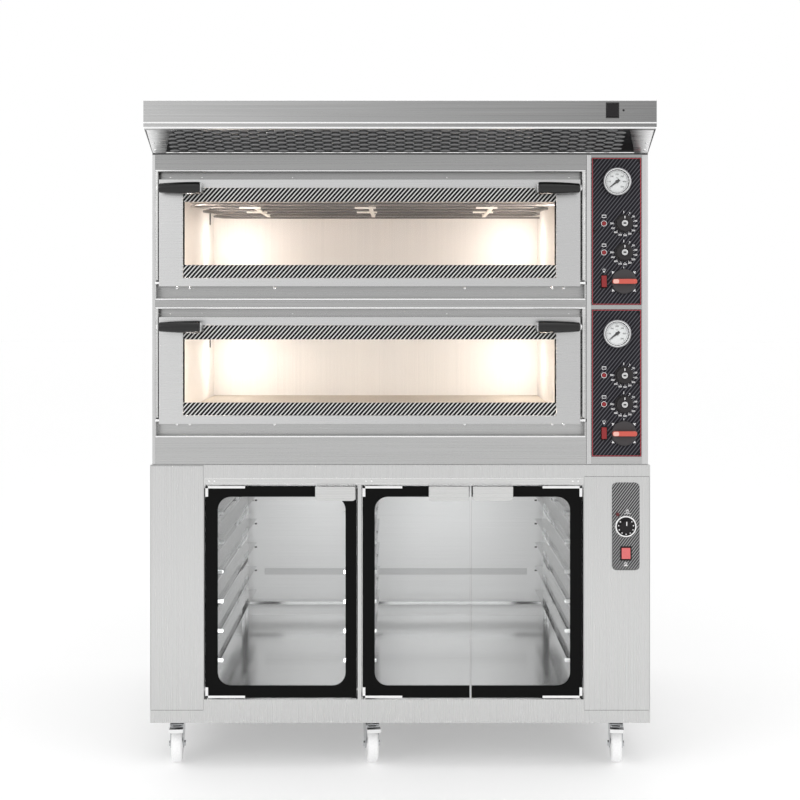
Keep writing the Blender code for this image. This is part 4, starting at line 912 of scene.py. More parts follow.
fascia_screws = []
for low, high in RECESS_Z.values():
    fascia_screws += [screw((x, SCREW_Y, low + 0.0290), 0.0042) for x in BIG_SCREWS_X]
    fascia_screws += [screw((x, SCREW_Y, high - 0.0140), 0.0018) for x in SMALL_SCREWS_X]
finish_piece(join(fascia_screws), "fascia_screws", "oven", bright_steel)
print("fascia trims:", len(TRIMS_X), "screws:", len(RECESS_Z) * (len(BIG_SCREWS_X) + len(SMALL_SCREWS_X)))

# %% [markdown]
# ## Oven doors
#
# A door is a folded steel frame round a pane. The pane's top and bottom carry a
# band of slanting stripes, and its sides a black line. Two tapered grips stand
# off the frame on flat arms, with a bolt in each outer end.

# %% Door frames and panes
PRINT_TOP, PRINT_BOTTOM, EDGE_LINE, PRINT_EDGE = 0.0387, 0.0360, 0.0045, 0.0005


def door_prints(deck, body, low, high):
    """Striped bands and black lines, just in front of the pane."""
    front, back = low.y - 0.0004, low.y - 0.0001
    left, right = low.x + PRINT_EDGE, high.x - PRINT_EDGE
    top, bottom = high.z - PRINT_TOP, low.z + PRINT_BOTTOM
    bands = join([block((left, front, top), (right, back, high.z - 0.0004)),
                  block((left, front, low.z + 0.0004), (right, back, bottom))])
    finish_piece(ease(bands, 0.00008, 1), f"{deck}_door_bands", body, door_print)
    lines = join([block((left, front, bottom), (low.x + EDGE_LINE, back, top)),
                  block((high.x - EDGE_LINE, front, bottom), (right, back, top))])
    finish_piece(ease(lines, 0.00008, 1), f"{deck}_door_lines", body, border_black)


for deck in DECKS:
    body = f"{deck}_oven_door"
    # The frame's steel carries painted light, lighter on the left and darker on the right.
    door = dress_node(f"{deck}_door_frame", f"{deck}_door", body, door_steel_painted_light, 0.0017)
    # The frame's rounded edges get a painted highlight.
    paint_edge_highlights(door, highlight_steel)
    node = f"{deck}_door_pane"
    low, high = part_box(node)
    pane = ease(block(low, high), 0.0006)
    finish_piece(pane, f"{deck}_pane", body, pane_glass)
    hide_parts(node)
    door_prints(deck, body, low, high)
print("a pane is", round(high.x - low.x, 3), "m wide")

# %% Grips
GRIP_PROFILE = [(0.0, 0.0), (0.0095, 0.0), (0.0118, 0.0011), (0.0127, 0.0036), (0.0132, 0.0120),
                (0.0146, 0.0300), (0.0158, 0.0520), (0.0166, 0.0760), (0.0169, 0.1000), (0.0168, 0.1080),
                (0.0160, 0.1120), (0.0145, 0.1138), (0.0, 0.1138)]
BOLT_PROFILE = [(0.0, -0.001), (0.0062, -0.001), (0.0062, 0.0016), (0.0048, 0.0030), (0.0, 0.0030)]
BOLT_SUNK = 0.0034
for deck in DECKS:
    body = f"{deck}_oven_door"
    bolts = []
    for side, way in (("left", 1), ("right", -1)):
        node = f"{deck}_{side}_grip"
        low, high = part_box(node)
        outer = (low.x if way > 0 else high.x) + way * 0.0001
        middle = (low + high) / 2
        grip = turned(GRIP_PROFILE, (outer, middle.y, middle.z), (way, 0.0, 0.0), 56)
        finish_piece(grip, f"{deck}_{side}_barrel", body, grip_black, 60.0)
        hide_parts(node)
        bolt_at = (outer - way * BOLT_SUNK, middle.y, middle.z)
        bolts.append(turned(BOLT_PROFILE, bolt_at, (-way, 0.0, 0.0), 6))
    finish_piece(join(bolts), f"{deck}_grip_bolts", body, bright_steel)
print("doors and grips made")

# %% [markdown]
# ## Baking chambers
#
# Warm lamps light the chamber from both ends. Its walls are steel tinted by
# heat. The heating element runs to and fro below the ceiling, held by ceramic
# hangers, and the floor is a stone slab.

# %% Linings, stones and elements
def darken_ceiling(liner, finish):
    """Gives the faces that look down from the top of a liner their own steel."""
    liner.data.materials.append(finish)
    top = max(face.center.z for face in liner.data.polygons)
    for face in liner.data.polygons:
        if face.normal.z < -0.9 and face.center.z > top - 0.02:
            face.material_index = 1


for deck in DECKS:
    liner = dress_node(f"{deck}_chamber_liner", f"{deck}_liner", "oven", lining_steel,
                       0.0015, smooth=60.0)
    darken_ceiling(liner, ceiling_steel)
    dress_node(f"{deck}_top_element", f"{deck}_element", "oven", sheath_steel, smooth=60.0)
    dress_node(f"{deck}_baking_stone", f"{deck}_stone", "oven", fire_stone, 0.0022, 3)
print("chambers lined")

# %% Hangers, chamber lamps and the thermostat probe
HANGER_X, BEAD_Y = (-0.437, -0.101, 0.253), (-0.305, -0.165, -0.025, 0.115)
HANGER_ABOVE_ELEMENT = 0.0128
BEAD_PROFILE = [(0.0, 0.0), (0.0050, 0.0), (0.0085, -0.0040), (0.0085, -0.0125), (0.0062, -0.0195),
                (0.0, -0.0195)]
PROBE_PROFILE = [(0.0, 0.0), (0.0016, 0.0), (0.0020, 0.0060), (0.0020, 0.0560), (0.0, 0.0560)]


def hanger(x, ceiling):
    """Ceramic beads under the ceiling, a rail that joins them and two cross bars."""
    beads = [turned(BEAD_PROFILE, (x + 0.014, y, ceiling), UP, 16) for y in BEAD_Y]
    rail = block((x + 0.008, -0.240, ceiling - 0.0215), (x + 0.020, 0.140, ceiling - 0.0165))
    bars = [block((x - 0.032, y - 0.006, ceiling - 0.0225), (x + 0.030, y + 0.006, ceiling - 0.0175))
            for y in (-0.235, -0.060)]
    return [*beads, rail, *bars]


for deck in DECKS:
    low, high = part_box(f"{deck}_chamber_liner")
    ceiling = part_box(f"{deck}_top_element")[1].z + HANGER_ABOVE_ELEMENT
    hangers = [piece for x in HANGER_X for piece in hanger(x, ceiling)]
    finish_piece(ease(join(hangers), 0.0010), f"{deck}_hangers", "oven", ceramic)
    lamps = []
    for x, way in ((low.x + 0.0030, 1), (high.x - 0.0030, -1)):
        a, b = sorted((x - way * 0.0005, x + way * 0.0080))
        lamps.append(block((a, -0.3900, low.z + 0.0500), (b, -0.3150, low.z + 0.2300)))
    finish_piece(ease(join(lamps), 0.0025, 3), f"{deck}_chamber_lamps", "oven", CHAMBER_GLOW[deck])
    probe = turned(PROBE_PROFILE, (low.x + 0.036, 0.000, high.z - 0.0585), UP, 16)
    finish_piece(probe, f"{deck}_probe", "oven", probe_metal)
print("chambers furnished")

# %% [markdown]
# ## Control plates
#
# Each deck has a near-black printed plate: a gauge on top, two thermostat
# knobs, a rotary switch and a lamp switch. Print is real geometry here, thin
# sheets and letters a fraction of a millimetre proud, so it stays crisp.

# %% Helpers for print
PRINT_PROUD = 0.0003


def thin_ring(x, y, z, inner, outer, depth=PRINT_PROUD):
    """A flat printed ring that faces the front."""
    profile = [(inner, 0.0), (outer, 0.0), (outer, depth), (inner, depth), (inner, 0.0)]
    return turned(profile, (x, y, z), FRONT, 64)


def tick(x, y, z, angle, near, far, width, depth=PRINT_PROUD):
    """A short radial mark. The angle is in degrees, counted clockwise from the top."""
    mark = block((x - width / 2, y - depth, z + near), (x + width / 2, y, z + far))
    return lean(mark, angle, (x, y, z))


def printed_words(words, x, y, z, size, depth=PRINT_PROUD):
    """Letters that stand upright and face the front, centred on a point."""
    start_fresh()
    bpy.ops.object.text_add(location=(0.0, 0.0, 0.0))
    piece = bpy.context.object
    piece.data.body = words
    piece.data.size = size
    piece.data.align_x = "CENTER"
    piece.data.align_y = "CENTER"
    piece.data.extrude = depth / 2
    piece.data.offset = size * 0.018
    piece.data.resolution_u = 3
    bpy.ops.object.convert(target="MESH")
    piece = bpy.context.object
    piece.rotation_euler = (math.radians(90.0), 0.0, 0.0)
    piece.location = (x, y - depth / 2, z)
    return settle(piece)


def dial_scale(x, y, z, radius, words, first, step, size):
    """Numbers round a dial, from the angle `first` clockwise, `step` degrees apart."""
    made = []
    for number, word in enumerate(words):
        angle = math.radians(first + number * step)
        made.append(printed_words(word, x + radius * math.sin(angle), y, z + radius * math.cos(angle), size))
    return made


def outline(x_low, x_high, z_low, z_high, y, width, depth=PRINT_PROUD):
    """A rectangle of thin printed line."""
    front = y - depth
    return [block((x_low, front, z_low), (x_high, y, z_low + width)),
            block((x_low, front, z_high - width), (x_high, y, z_high)),
            block((x_low, front, z_low + width), (x_low + width, y, z_high - width)),
            block((x_high - width, front, z_low + width), (x_high, y, z_high - width))]


print("print helpers are ready")

# %% Plates, outlines and corner screws
PLATE_FACE_Y = -0.4323
KNOB_X, SIDE_X, GAUGE_X = 0.6175, 0.563, 0.598
GAUGE_DROP, KNOB_DROPS, SWITCH_DROP = 0.067, (0.182, 0.262), 0.342
EDGE_GAP, SCREW_FROM_SIDE, SCREW_FROM_END = 0.0016, 0.0075, 0.0085
for deck in DECKS:
    node = f"{deck}_control_panel"
    low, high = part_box(node)
    dress_node(node, f"{deck}_plate", "oven", plate_print, 0.0004)
    red = outline(low.x + EDGE_GAP, high.x - EDGE_GAP, low.z + EDGE_GAP, high.z - EDGE_GAP, PLATE_FACE_Y,
                  0.0013)
    finish_piece(join(red), f"{deck}_plate_outline", "oven", ink_red)
    screws = [screw((x, PLATE_FACE_Y, z), 0.0036)
              for x in (low.x + SCREW_FROM_SIDE, high.x - SCREW_FROM_SIDE)
              for z in (low.z + SCREW_FROM_END, (low.z + high.z) / 2, high.z - SCREW_FROM_END)]
    finish_piece(join(screws), f"{deck}_plate_screws", "oven", rim_black)
print("a plate is", round(high.z - low.z, 3), "m tall")

# %% [markdown]
# ## Gauges
#
# A polished bezel holds a white dial under a flat glass. The scale runs three
# quarters of the way round, with a long tick at each number.

# %% Bezels, dials and pointers
BEZEL_PROFILE = [(0.0384, -0.0002), (0.0392, 0.0020), (0.0390, 0.0095), (0.0380, 0.0125), (0.0366, 0.0130),
                 (0.0352, 0.0128), (0.0352, 0.0118), (0.0384, 0.0100), (0.0384, -0.0002)]
WELL_PROFILE = [(0.0352, 0.0118), (0.0352, 0.0126), (0.0340, 0.0126), (0.0318, 0.0098), (0.0318, 0.0052),
                (0.0325, 0.0052), (0.0352, 0.0118)]
HUB_PROFILE = [(0.0, 0.0), (0.0048, 0.0), (0.0048, 0.0014), (0.0036, 0.0022), (0.0, 0.0024)]
GAUGE_WORDS = ("0", "50", "100", "200", "300", "400", "500")
DIAL_RADIUS, GLASS_OFF_PLATE, DIAL_PRINT = 0.0317, 0.0100, 0.0001
DIAL_FIRST, DIAL_STEP, POINTER_ANGLE = -135.0, 9.0, -128.0


def disc(place, radius, thick):
    """A flat turned disc that faces the front."""
    return turned([(0.0, 0.0), (radius, 0.0), (radius, thick), (0.0, thick)], place, FRONT, 64)


def gauge(deck, x, z):
    """One thermometer: bezel, dial, ticks, numbers and glass."""
    dial_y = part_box(f"{deck}_gauge_needle")[1].y + 0.0003
    print_y = dial_y - DIAL_PRINT
    for part, profile, finish in (("bezel", BEZEL_PROFILE, bezel_steel),
                                  ("well", WELL_PROFILE, dial_white)):
        ring = turned(profile, (x, PLATE_FACE_Y, z), FRONT, 64)
        finish_piece(ring, f"{deck}_gauge_{part}", "oven", finish, 50.0)
    finish_piece(disc((x, dial_y, z), DIAL_RADIUS, 0.0001), f"{deck}_gauge_dial", "oven", dial_white)
    marks = [thin_ring(x, print_y, z, 0.0286, 0.0289, DIAL_PRINT)]
    for number in range(31):
        near, width = (0.0245, 0.0008) if number % 5 == 0 else (0.0262, 0.0004)
        marks.append(tick(x, print_y, z, DIAL_FIRST + number * DIAL_STEP, near, 0.0288, width, DIAL_PRINT))
    marks += dial_scale(x, print_y, z, 0.0200, GAUGE_WORDS, DIAL_FIRST, 5 * DIAL_STEP, 0.0062)
    marks.append(printed_words("°C", x, print_y, z + 0.0095, 0.0060, DIAL_PRINT))
    finish_piece(join(marks), f"{deck}_gauge_scale", "oven", ink_grey)
    glass = disc((x, PLATE_FACE_Y - GLASS_OFF_PLATE, z), DIAL_RADIUS, 0.0006)
    finish_piece(glass, f"{deck}_gauge_glass", "oven", pane_glass)


def pointer(deck, x, z):
    """A tapered pointer with a turned hub, on the gauge's moving body."""
    node = f"{deck}_gauge_needle"
    low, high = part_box(node)
    blade = block((x - 0.0024, low.y + 0.0012, z - 0.0085), (x + 0.0024, low.y + 0.0020, z + 0.0270))
    choose(blade, "VERT", lambda co: co.z > z + 0.02)
    bpy.ops.transform.resize(value=(0.30, 1.0, 1.0), center_override=(x, low.y, z))
    choose(blade, "VERT", lambda co: co.z < z - 0.005)
    bpy.ops.transform.resize(value=(1.6, 1.0, 1.0), center_override=(x, low.y, z))
    bpy.ops.object.mode_set(mode="OBJECT")
    lean(ease(blade, 0.0002, 1), POINTER_ANGLE, (x, low.y, z))
    hub = turned(HUB_PROFILE, (x, high.y - 0.0001, z), FRONT, 24)
    made = finish_piece(join([blade, hub]), f"{deck}_pointer", f"{deck}_gauge_pointer", ink_black)
    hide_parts(node)


for deck in DECKS:
    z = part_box(f"{deck}_control_panel")[1].z - GAUGE_DROP
    gauge(deck, GAUGE_X, z)
    pointer(deck, GAUGE_X, z)
print("gauges made")

# %% [markdown]
# ## Knobs and switches
#
# A thermostat knob has a skirt, a ribbed grip and a slotted silver cap. Every
# other side face of the turned grip is pushed inward a little, and what is left
# between makes the ribs. A short post behind the knob joins it to its shaft.

# %% Knobs
KNOB_GAP, RIB_STEP = 0.0025, 7.5
KNOB_WORDS = ("0", "50", "100", "150", "200", "250", "300", "350", "400", "450", "500")
KNOB_FIRST, KNOB_STEP = 30.0, 24.0
KNOB_RADIUS, KNOB_DEPTH = 0.025, 0.018
POST_PROFILE = [(0.0, -0.0024), (0.0029, -0.0024), (0.0029, 0.0001), (0.0, 0.0001)]


def ribbed(piece, axis_at, low, high, push):
    """Pushes in every other side face between two depths, to make grip ribs."""
    def alternate(middle, normal):
        if abs(normal.y) > 0.5 or not low < axis_at.y - middle.y < high:
            return False
        turn = math.degrees(math.atan2(middle.x - axis_at.x, middle.z - axis_at.z)) % 360.0
        return int(turn // RIB_STEP) % 2 == 0
    choose(piece, "FACE", alternate)
    bpy.ops.mesh.inset(thickness=0.0003, depth=-push, use_individual=True)
    bpy.ops.object.mode_set(mode="OBJECT")
    return piece


def dress_knob(node, name, body, x, z, radius, depth):
    """A ribbed knob and its slotted cap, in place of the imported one."""
    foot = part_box(node)[1].y - KNOB_GAP
    place = (x, foot, z)
    post = turned(POST_PROFILE, place, FRONT, 20)
    grip = turned([(0.0, 0.0), (radius, 0.0), (radius, depth * 0.16), (radius * 0.955, depth * 0.24),
                   (radius * 0.92, depth * 0.26), (radius * 0.86, depth * 0.93),
                   (radius * 0.80, depth * 0.99), (radius * 0.50, depth), (radius * 0.47, depth * 0.90),
                   (0.0, depth * 0.90)], place, FRONT, 48)
    ribbed(grip, Vector(place), depth * 0.27, depth * 0.92, 0.0012)
    made = finish_piece(join([grip, post]), name, body, knob_grey, 30.0)
    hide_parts(node)
    cap = turned([(0.0, depth * 0.88), (radius * 0.33, depth * 0.88), (radius * 0.33, depth * 0.99),
                  (radius * 0.27, depth * 1.03), (0.0, depth * 1.04)], place, FRONT, 32)
    finish_piece(cap, f"{name}_cap", body, cap_steel, 30.0)
    slot = block((x - radius * 0.16, foot - depth * 1.055, z - 0.0022),
                 (x + radius * 0.16, foot - depth * 1.02, z + 0.0022))
    line = block((x - 0.0010, foot - depth * 1.012, z + radius * 0.52),
                 (x + 0.0010, foot - depth * 0.98, z + radius * 0.80))
    finish_piece(ease(slot, 0.0002, 1), f"{name}_slot", body, ink_black)
    finish_piece(ease(line, 0.0002, 1), f"{name}_line", body, ink_white)


for deck in DECKS:
    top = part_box(f"{deck}_control_panel")[1].z
    legend = []
    for heat, drop in zip(("top", "bottom"), KNOB_DROPS):
        z = top - drop
        dress_knob(f"{deck}_{heat}_heat_knob", f"{deck}_{heat}_knob", f"{deck}_{heat}_thermostat",
                   KNOB_X, z, KNOB_RADIUS, KNOB_DEPTH)
        legend += dial_scale(KNOB_X, PLATE_FACE_Y, z, 0.0330, KNOB_WORDS, KNOB_FIRST, KNOB_STEP, 0.0066)
        legend.append(tick(KNOB_X, PLATE_FACE_Y, z, 0.0, 0.0280, 0.0350, 0.0016))
        for number in range(len(KNOB_WORDS)):
            angle = KNOB_FIRST + KNOB_STEP * number
            legend.append(tick(KNOB_X, PLATE_FACE_Y, z, angle, 0.0265, 0.0288, 0.0012))
    finish_piece(join(legend), f"{deck}_knob_legend", "oven", ink_white)
print("knobs made")

# %% Rotary switches
DISC_PROFILE = [(0.0, 0.0), (0.0338, 0.0), (0.0344, 0.0012), (0.0344, 0.0060), (0.0330, 0.0085),
                (0.0300, 0.0098), (0.0255, 0.0092), (0.0, 0.0092)]
PILOT_PROFILE = [(0.0, -0.0005), (0.0062, -0.0005), (0.0062, 0.0018), (0.0045, 0.0034), (0.0, 0.0040)]
LAMP_SIGN_RISE = 0.0310
HEAT_SIGN = ((-0.0058, 0.0058, 0.0225, 0.0240), (-0.0058, 0.0058, 0.0160, 0.0170),
             (-0.0058, -0.0048, 0.0170, 0.0225), (0.0048, 0.0058, 0.0170, 0.0225))


def rotary_switch(deck, x, z):
    """A flat disc with a red bar across it, and its printed marks."""
    node, body = f"{deck}_main_switch", f"{deck}_rotary_switch"
    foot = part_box(node)[1].y - KNOB_GAP
    post = turned(POST_PROFILE, (x, foot, z), FRONT, 20)
    plate = turned(DISC_PROFILE, (x, foot, z), FRONT, 72)
    made = finish_piece(join([plate, post]), f"{deck}_switch_disc", body, switch_grey, 40.0)
    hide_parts(node)
    bar = block((x - 0.0335, foot - 0.0212, z - 0.0068), (x + 0.0335, foot - 0.0080, z + 0.0068))
    round_edges(bar, 0.0055, along(1), 5)
    finish_piece(ease(bar, 0.0018, 3), f"{deck}_switch_bar", body, bar_red, 40.0)
    tip = block((x - 0.0325, foot - 0.0215, z - 0.0058), (x - 0.0165, foot - 0.0205, z + 0.0058))
    round_edges(tip, 0.0040, along(1), 4)
    finish_piece(ease(tip, 0.0003, 1), f"{deck}_switch_tip", body, tip_pink)
    marks = [tick(x, PLATE_FACE_Y, z, 0.0, 0.0360, 0.0410, 0.0016)]
    for angle in (-50.0, -130.0, 50.0, 130.0):
        marks.append(tick(x, PLATE_FACE_Y, z, angle, 0.0370, 0.0392, 0.0078))
        marks.append(tick(x, PLATE_FACE_Y, z, angle, 0.0392, 0.0425, 0.0026))
    return marks


def rocker_rim(x, z, wide, tall, face_y, width=0.0018, proud=0.0012):
    """The thin frame round a rocker's window."""
    half_wide, half_tall = wide / 2 + 0.0006, tall / 2 + 0.0014
    pieces = outline(x - half_wide - width, x + half_wide + width, z - half_tall - width,
                     z + half_tall + width, face_y + 0.0003, width, proud + 0.0003)
    return ease(join(pieces), 0.0003, 1)


def side_marks(top, z):
    """The signs beside the knobs and over the lamp switch."""
    front = PLATE_FACE_Y - PRINT_PROUD
    marks = [thin_ring(SIDE_X, PLATE_FACE_Y, z + LAMP_SIGN_RISE, 0.0028, 0.0036),
             block((SIDE_X - 0.0016, front, z + 0.0250), (SIDE_X + 0.0016, PLATE_FACE_Y, z + 0.0276))]
    for angle in (-60.0, 0.0, 60.0):
        marks.append(tick(SIDE_X, PLATE_FACE_Y, z + LAMP_SIGN_RISE, angle, 0.0046, 0.0062, 0.0007))
    for level in [top - drop for drop in KNOB_DROPS]:
        marks += [block((SIDE_X + left, front, level + low), (SIDE_X + right, PLATE_FACE_Y, level + high))
                  for left, right, low, high in HEAT_SIGN]
        marks.append(thin_ring(SIDE_X, PLATE_FACE_Y, level, 0.0066, 0.0078))
    return marks


for deck in DECKS:
    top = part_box(f"{deck}_control_panel")[1].z
    z = top - SWITCH_DROP
    marks = rotary_switch(deck, KNOB_X, z) + side_marks(top, z)
    dress_node(f"{deck}_lamp_rocker", f"{deck}_lamp_key", f"{deck}_lamp_switch", key_red,
               0.0009, 3)
    finish_piece(rocker_rim(SIDE_X, z, 0.014, 0.032, PLATE_FACE_Y), f"{deck}_lamp_rim", "oven", rim_black)
    lamps = [turned(PILOT_PROFILE, (SIDE_X, PLATE_FACE_Y, top - drop), FRONT, 28) for drop in KNOB_DROPS]
    finish_piece(join(lamps), f"{deck}_pilot_lamps", "oven", lamp_red, 50.0)
    finish_piece(join(marks), f"{deck}_switch_marks", "oven", ink_white)
print("switches made")

# %% [markdown]
# ## Proofer controls
#
# The cabinet's own plate is small and round-cornered, with a thermostat, a
# pilot lamp and a rocker in a dark rim.

# %% Proofer plate
PROOFER_X, PROOFER_Z, PROOFER_ROCKER_Z = 0.6226, 0.6726, 0.5985
PROOFER_FACE_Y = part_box("proofer_control_panel")[0].y
dress_node("proofer_control_panel", "proofer_plate", "oven", small_print, 0.0004)
print("the plate's face is at y =", round(PROOFER_FACE_Y, 4))

# %% Proofer knob
knob_node = "proofer_heat_knob"
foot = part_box(knob_node)[1].y - KNOB_GAP
knob_place = (PROOFER_X, foot, PROOFER_Z)
skirt = turned([(0.0, 0.0), (0.0255, 0.0), (0.0255, 0.0020), (0.0240, 0.0032), (0.0, 0.0032)],
               knob_place, FRONT, 64)
dial = turned([(0.0, 0.0030), (0.0182, 0.0030), (0.0176, 0.0120), (0.0160, 0.0138), (0.0, 0.0138)],
              knob_place, FRONT, 48)
ribbed(dial, Vector(knob_place), 0.0035, 0.0118, 0.0010)
post = turned(POST_PROFILE, knob_place, FRONT, 20)
knob = finish_piece(join([skirt, dial, post]), "proofer_knob", "proofer_thermostat", rim_black,
                    30.0)
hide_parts(knob_node)
marks = [tick(PROOFER_X, foot - 0.0138, PROOFER_Z, 0.0, 0.0040, 0.0150, 0.0022)]
for number in range(9):
    marks.append(tick(PROOFER_X, foot - 0.0031, PROOFER_Z, 50.0 + 32.5 * number, 0.0190, 0.0224, 0.0030))
finish_piece(join(marks), "proofer_knob_marks", "proofer_thermostat", ink_white)
ring = turned([(0.0257, 0.0), (0.0294, 0.0), (0.0294, 0.0010), (0.0284, 0.0020), (0.0257, 0.0020),
               (0.0257, 0.0)], (PROOFER_X, PROOFER_FACE_Y, PROOFER_Z), FRONT, 64)
finish_piece(ring, "proofer_knob_ring", "oven", bright_steel, 50.0)
print("the proofer's knob has", len(marks), "marks")

# %% Proofer rocker, pilot lamp and signs
dress_node("proofer_power_rocker", "proofer_key", "proofer_switch", key_pink, 0.0009, 3)
rim = rocker_rim(PROOFER_X, PROOFER_ROCKER_Z, 0.024, 0.030, PROOFER_FACE_Y, 0.0030, 0.0022)
finish_piece(rim, "proofer_key_rim", "oven", rim_black)
pilot = turned([(0.0, -0.0005), (0.0052, -0.0005), (0.0052, 0.0018), (0.0038, 0.0032), (0.0, 0.0038)],
               (PROOFER_X - 0.0226, PROOFER_FACE_Y, PROOFER_Z + 0.0334), FRONT, 28)
finish_piece(pilot, "proofer_pilot", "oven", pilot_red, 50.0)
print_y = PROOFER_FACE_Y - PRINT_PROUD
icons = [thin_ring(PROOFER_X + 0.004, PROOFER_FACE_Y, PROOFER_Z + 0.0420, 0.0030, 0.0040),
         tick(PROOFER_X + 0.004, PROOFER_FACE_Y, PROOFER_Z + 0.0420, 0.0, 0.0015, 0.0065, 0.0009),
         block((PROOFER_X - 0.0050, print_y, PROOFER_Z + 0.0350),
               (PROOFER_X + 0.0130, PROOFER_FACE_Y, PROOFER_Z + 0.0358)),
         block((PROOFER_X - 0.0060, print_y, PROOFER_Z - 0.1090),
               (PROOFER_X + 0.0060, PROOFER_FACE_Y, PROOFER_Z - 0.1074)),
         thin_ring(PROOFER_X, PROOFER_FACE_Y, PROOFER_Z - 0.1030, 0.0026, 0.0038)]
for angle in (-60.0, -30.0, 30.0, 60.0, 90.0, 120.0, 150.0, 210.0, 240.0, 270.0):
    icons.append(tick(PROOFER_X, PROOFER_FACE_Y, PROOFER_Z, angle, 0.0304, 0.0322, 0.0010))
finish_piece(join(icons), "proofer_icons", "oven", ink_white)
print("proofer plate dressed")

# %% [markdown]
# ## Extraction hood
#
# The hood's front is a flat brushed band with a folded lip. Below the lip a
# grease filter slopes back to the oven. Its sheet is pressed into staggered
# rows of lens-shaped louvres, which let steam in and turn grease away. A cheek
# of sheet closes each end of the slope.

# %% Hood shell, lip and rivets
BAND_LOW, BAND_HIGH, HOOD_KEY_Z = 1.759, 1.831, 1.803
hood_low, hood_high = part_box("hood_shell")
# The hood's steel carries painted light, lighter toward its left end.
dress_node("hood_shell", "hood_body", "oven", hood_steel_painted_light, 0.0010)


def hood_strip(y, proud, z_low, z_high, radius, inset=0.0006):
    """A rounded strip across the whole front of the hood."""
    strip = block((hood_low.x + inset, y - proud, z_low), (hood_high.x - inset, y + 0.0010, z_high))
    return ease(strip, radius, 3)


lip = hood_strip(hood_low.y, 0.0026, BAND_LOW + 0.0085, BAND_LOW + 0.0125, 0.0012)
hem = hood_strip(hood_low.y, 0.0022, BAND_LOW - 0.0052, BAND_LOW - 0.0002, 0.0010)
top_edge = hood_strip(hood_low.y, 0.0012, BAND_HIGH - 0.0030, BAND_HIGH, 0.0010, 0.0004)
sill = hood_strip(FASCIA_Y, 0.0022, 1.7032, 1.7064, 0.0009)
# The lip, hem, top edge and sill carry a painted highlight: a brighter steel.
finish_piece(join([lip, hem, top_edge, sill]), "hood_lip", "oven", highlight_steel)
gap = block((hood_low.x + 0.0010, FASCIA_Y - 0.0004, 1.6993),
            (hood_high.x - 0.0010, FASCIA_Y + 0.0002, 1.7022))
finish_piece(ease(gap, 0.0002, 1), "hood_gap", "oven", rim_black)
RIVET_PROFILE = [(0.0, -0.0005), (0.0040, -0.0005), (0.0036, 0.0010), (0.0020, 0.0018), (0.0, 0.0020)]
UNDERSIDE_Y, UNDERSIDE_Z, UNDERSIDE_RISE = -0.4275, 1.7045, 0.056 / 0.1075
rivets = []
for x in (hood_low.x + 0.012, hood_high.x - 0.012):
    for y in (-0.4450, -0.4750):
        z = UNDERSIDE_Z + (UNDERSIDE_Y - y) * UNDERSIDE_RISE - 0.0036
        rivets.append(turned(RIVET_PROFILE, (x, y, z), (0.0, -0.46, -0.888), 16))
finish_piece(join(rivets), "hood_rivets", "oven", bright_steel)
dress_node("hood_fan_rocker", "hood_key", "hood_switch", rim_black, 0.0009, 3)
rim = rocker_rim(0.567, HOOD_KEY_Z, 0.031, 0.036, hood_low.y, 0.0016, 0.0008)
finish_piece(rim, "hood_key_rim", "oven", rim_black)
hood_lamp = turned([(0.0, -0.0004), (0.0030, -0.0004), (0.0030, 0.0006), (0.0020, 0.0012), (0.0, 0.0014)],
                   (0.5965, hood_low.y, HOOD_KEY_Z), FRONT, 20)
finish_piece(hood_lamp, "hood_lamp", "oven", rim_black)
print("the hood's band is", round(BAND_HIGH - BAND_LOW, 3), "m tall")

# %% Louvred filter
SLOPE_LOW = Vector((0.0, -0.4278, 1.7045))
SLOPE_HIGH = Vector((0.0, -0.5347, 1.7605))
slope = SLOPE_HIGH - SLOPE_LOW
SLOPE_TURN = math.radians(180.0 - math.degrees(math.atan2(slope.z, -slope.y)))
filter_low, filter_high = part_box("hood_filter")
sheet = block((filter_low.x, -0.0615, -0.0015), (filter_high.x, 0.0590, 0.0015))
sheet.rotation_euler = (SLOPE_TURN, 0.0, 0.0)
sheet.location = (SLOPE_LOW + SLOPE_HIGH) / 2 + Vector((0.0, 0.001, 0.0020))
finish_piece(settle(sheet), "filter_sheet", "oven", filter_steel)
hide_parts("hood_filter")
print("the filter slopes at", round(180.0 - math.degrees(SLOPE_TURN), 1), "degrees")

# %% Cheeks beside the filter
CHEEK_OUTER, CHEEK_INNER_TOP, CHEEK_INNER_LOW = 0.6828, 0.6150, 0.6480
CHEEK_CORNERS = {(-0.5, -0.5): (CHEEK_OUTER, SLOPE_HIGH), (0.5, -0.5): (CHEEK_INNER_TOP, SLOPE_HIGH),
                 (-0.5, 0.5): (CHEEK_OUTER, SLOPE_LOW), (0.5, 0.5): (CHEEK_INNER_LOW, SLOPE_LOW)}
cheeks = []
for way in (-1, 1):
    cheek = block((-0.5, -0.5, -0.5), (0.5, 0.5, 0.5))
    for point in cheek.data.vertices:
        out, spot = CHEEK_CORNERS[(point.co.x, point.co.y)]
        lift = 0.0008 if point.co.z > 0 else 0.0034
        point.co = (way * out, spot.y, spot.z - lift)
    choose(cheek, "FACE", lambda middle, normal: True)
    bpy.ops.mesh.normals_make_consistent(inside=False)
    bpy.ops.object.mode_set(mode="OBJECT")
    cheeks.append(ease(cheek, 0.0006))
# Each cheek carries a painted highlight at its outer end and painted shade toward the filter.
cheeks = finish_piece(join(cheeks), "filter_cheeks", "oven", left_cheek_painted_light)
cheeks.data.materials.append(right_cheek_painted_light)
for face in cheeks.data.polygons:
    face.material_index = 1 if face.center.x > 0 else 0
print("cheeks made")

# %% Louvres
LOUVRE_PITCH, LOUVRE_ROWS, LOUVRE_COLUMNS, LOUVRE_LEFT_X = 0.0496, 12, 25, -0.6200


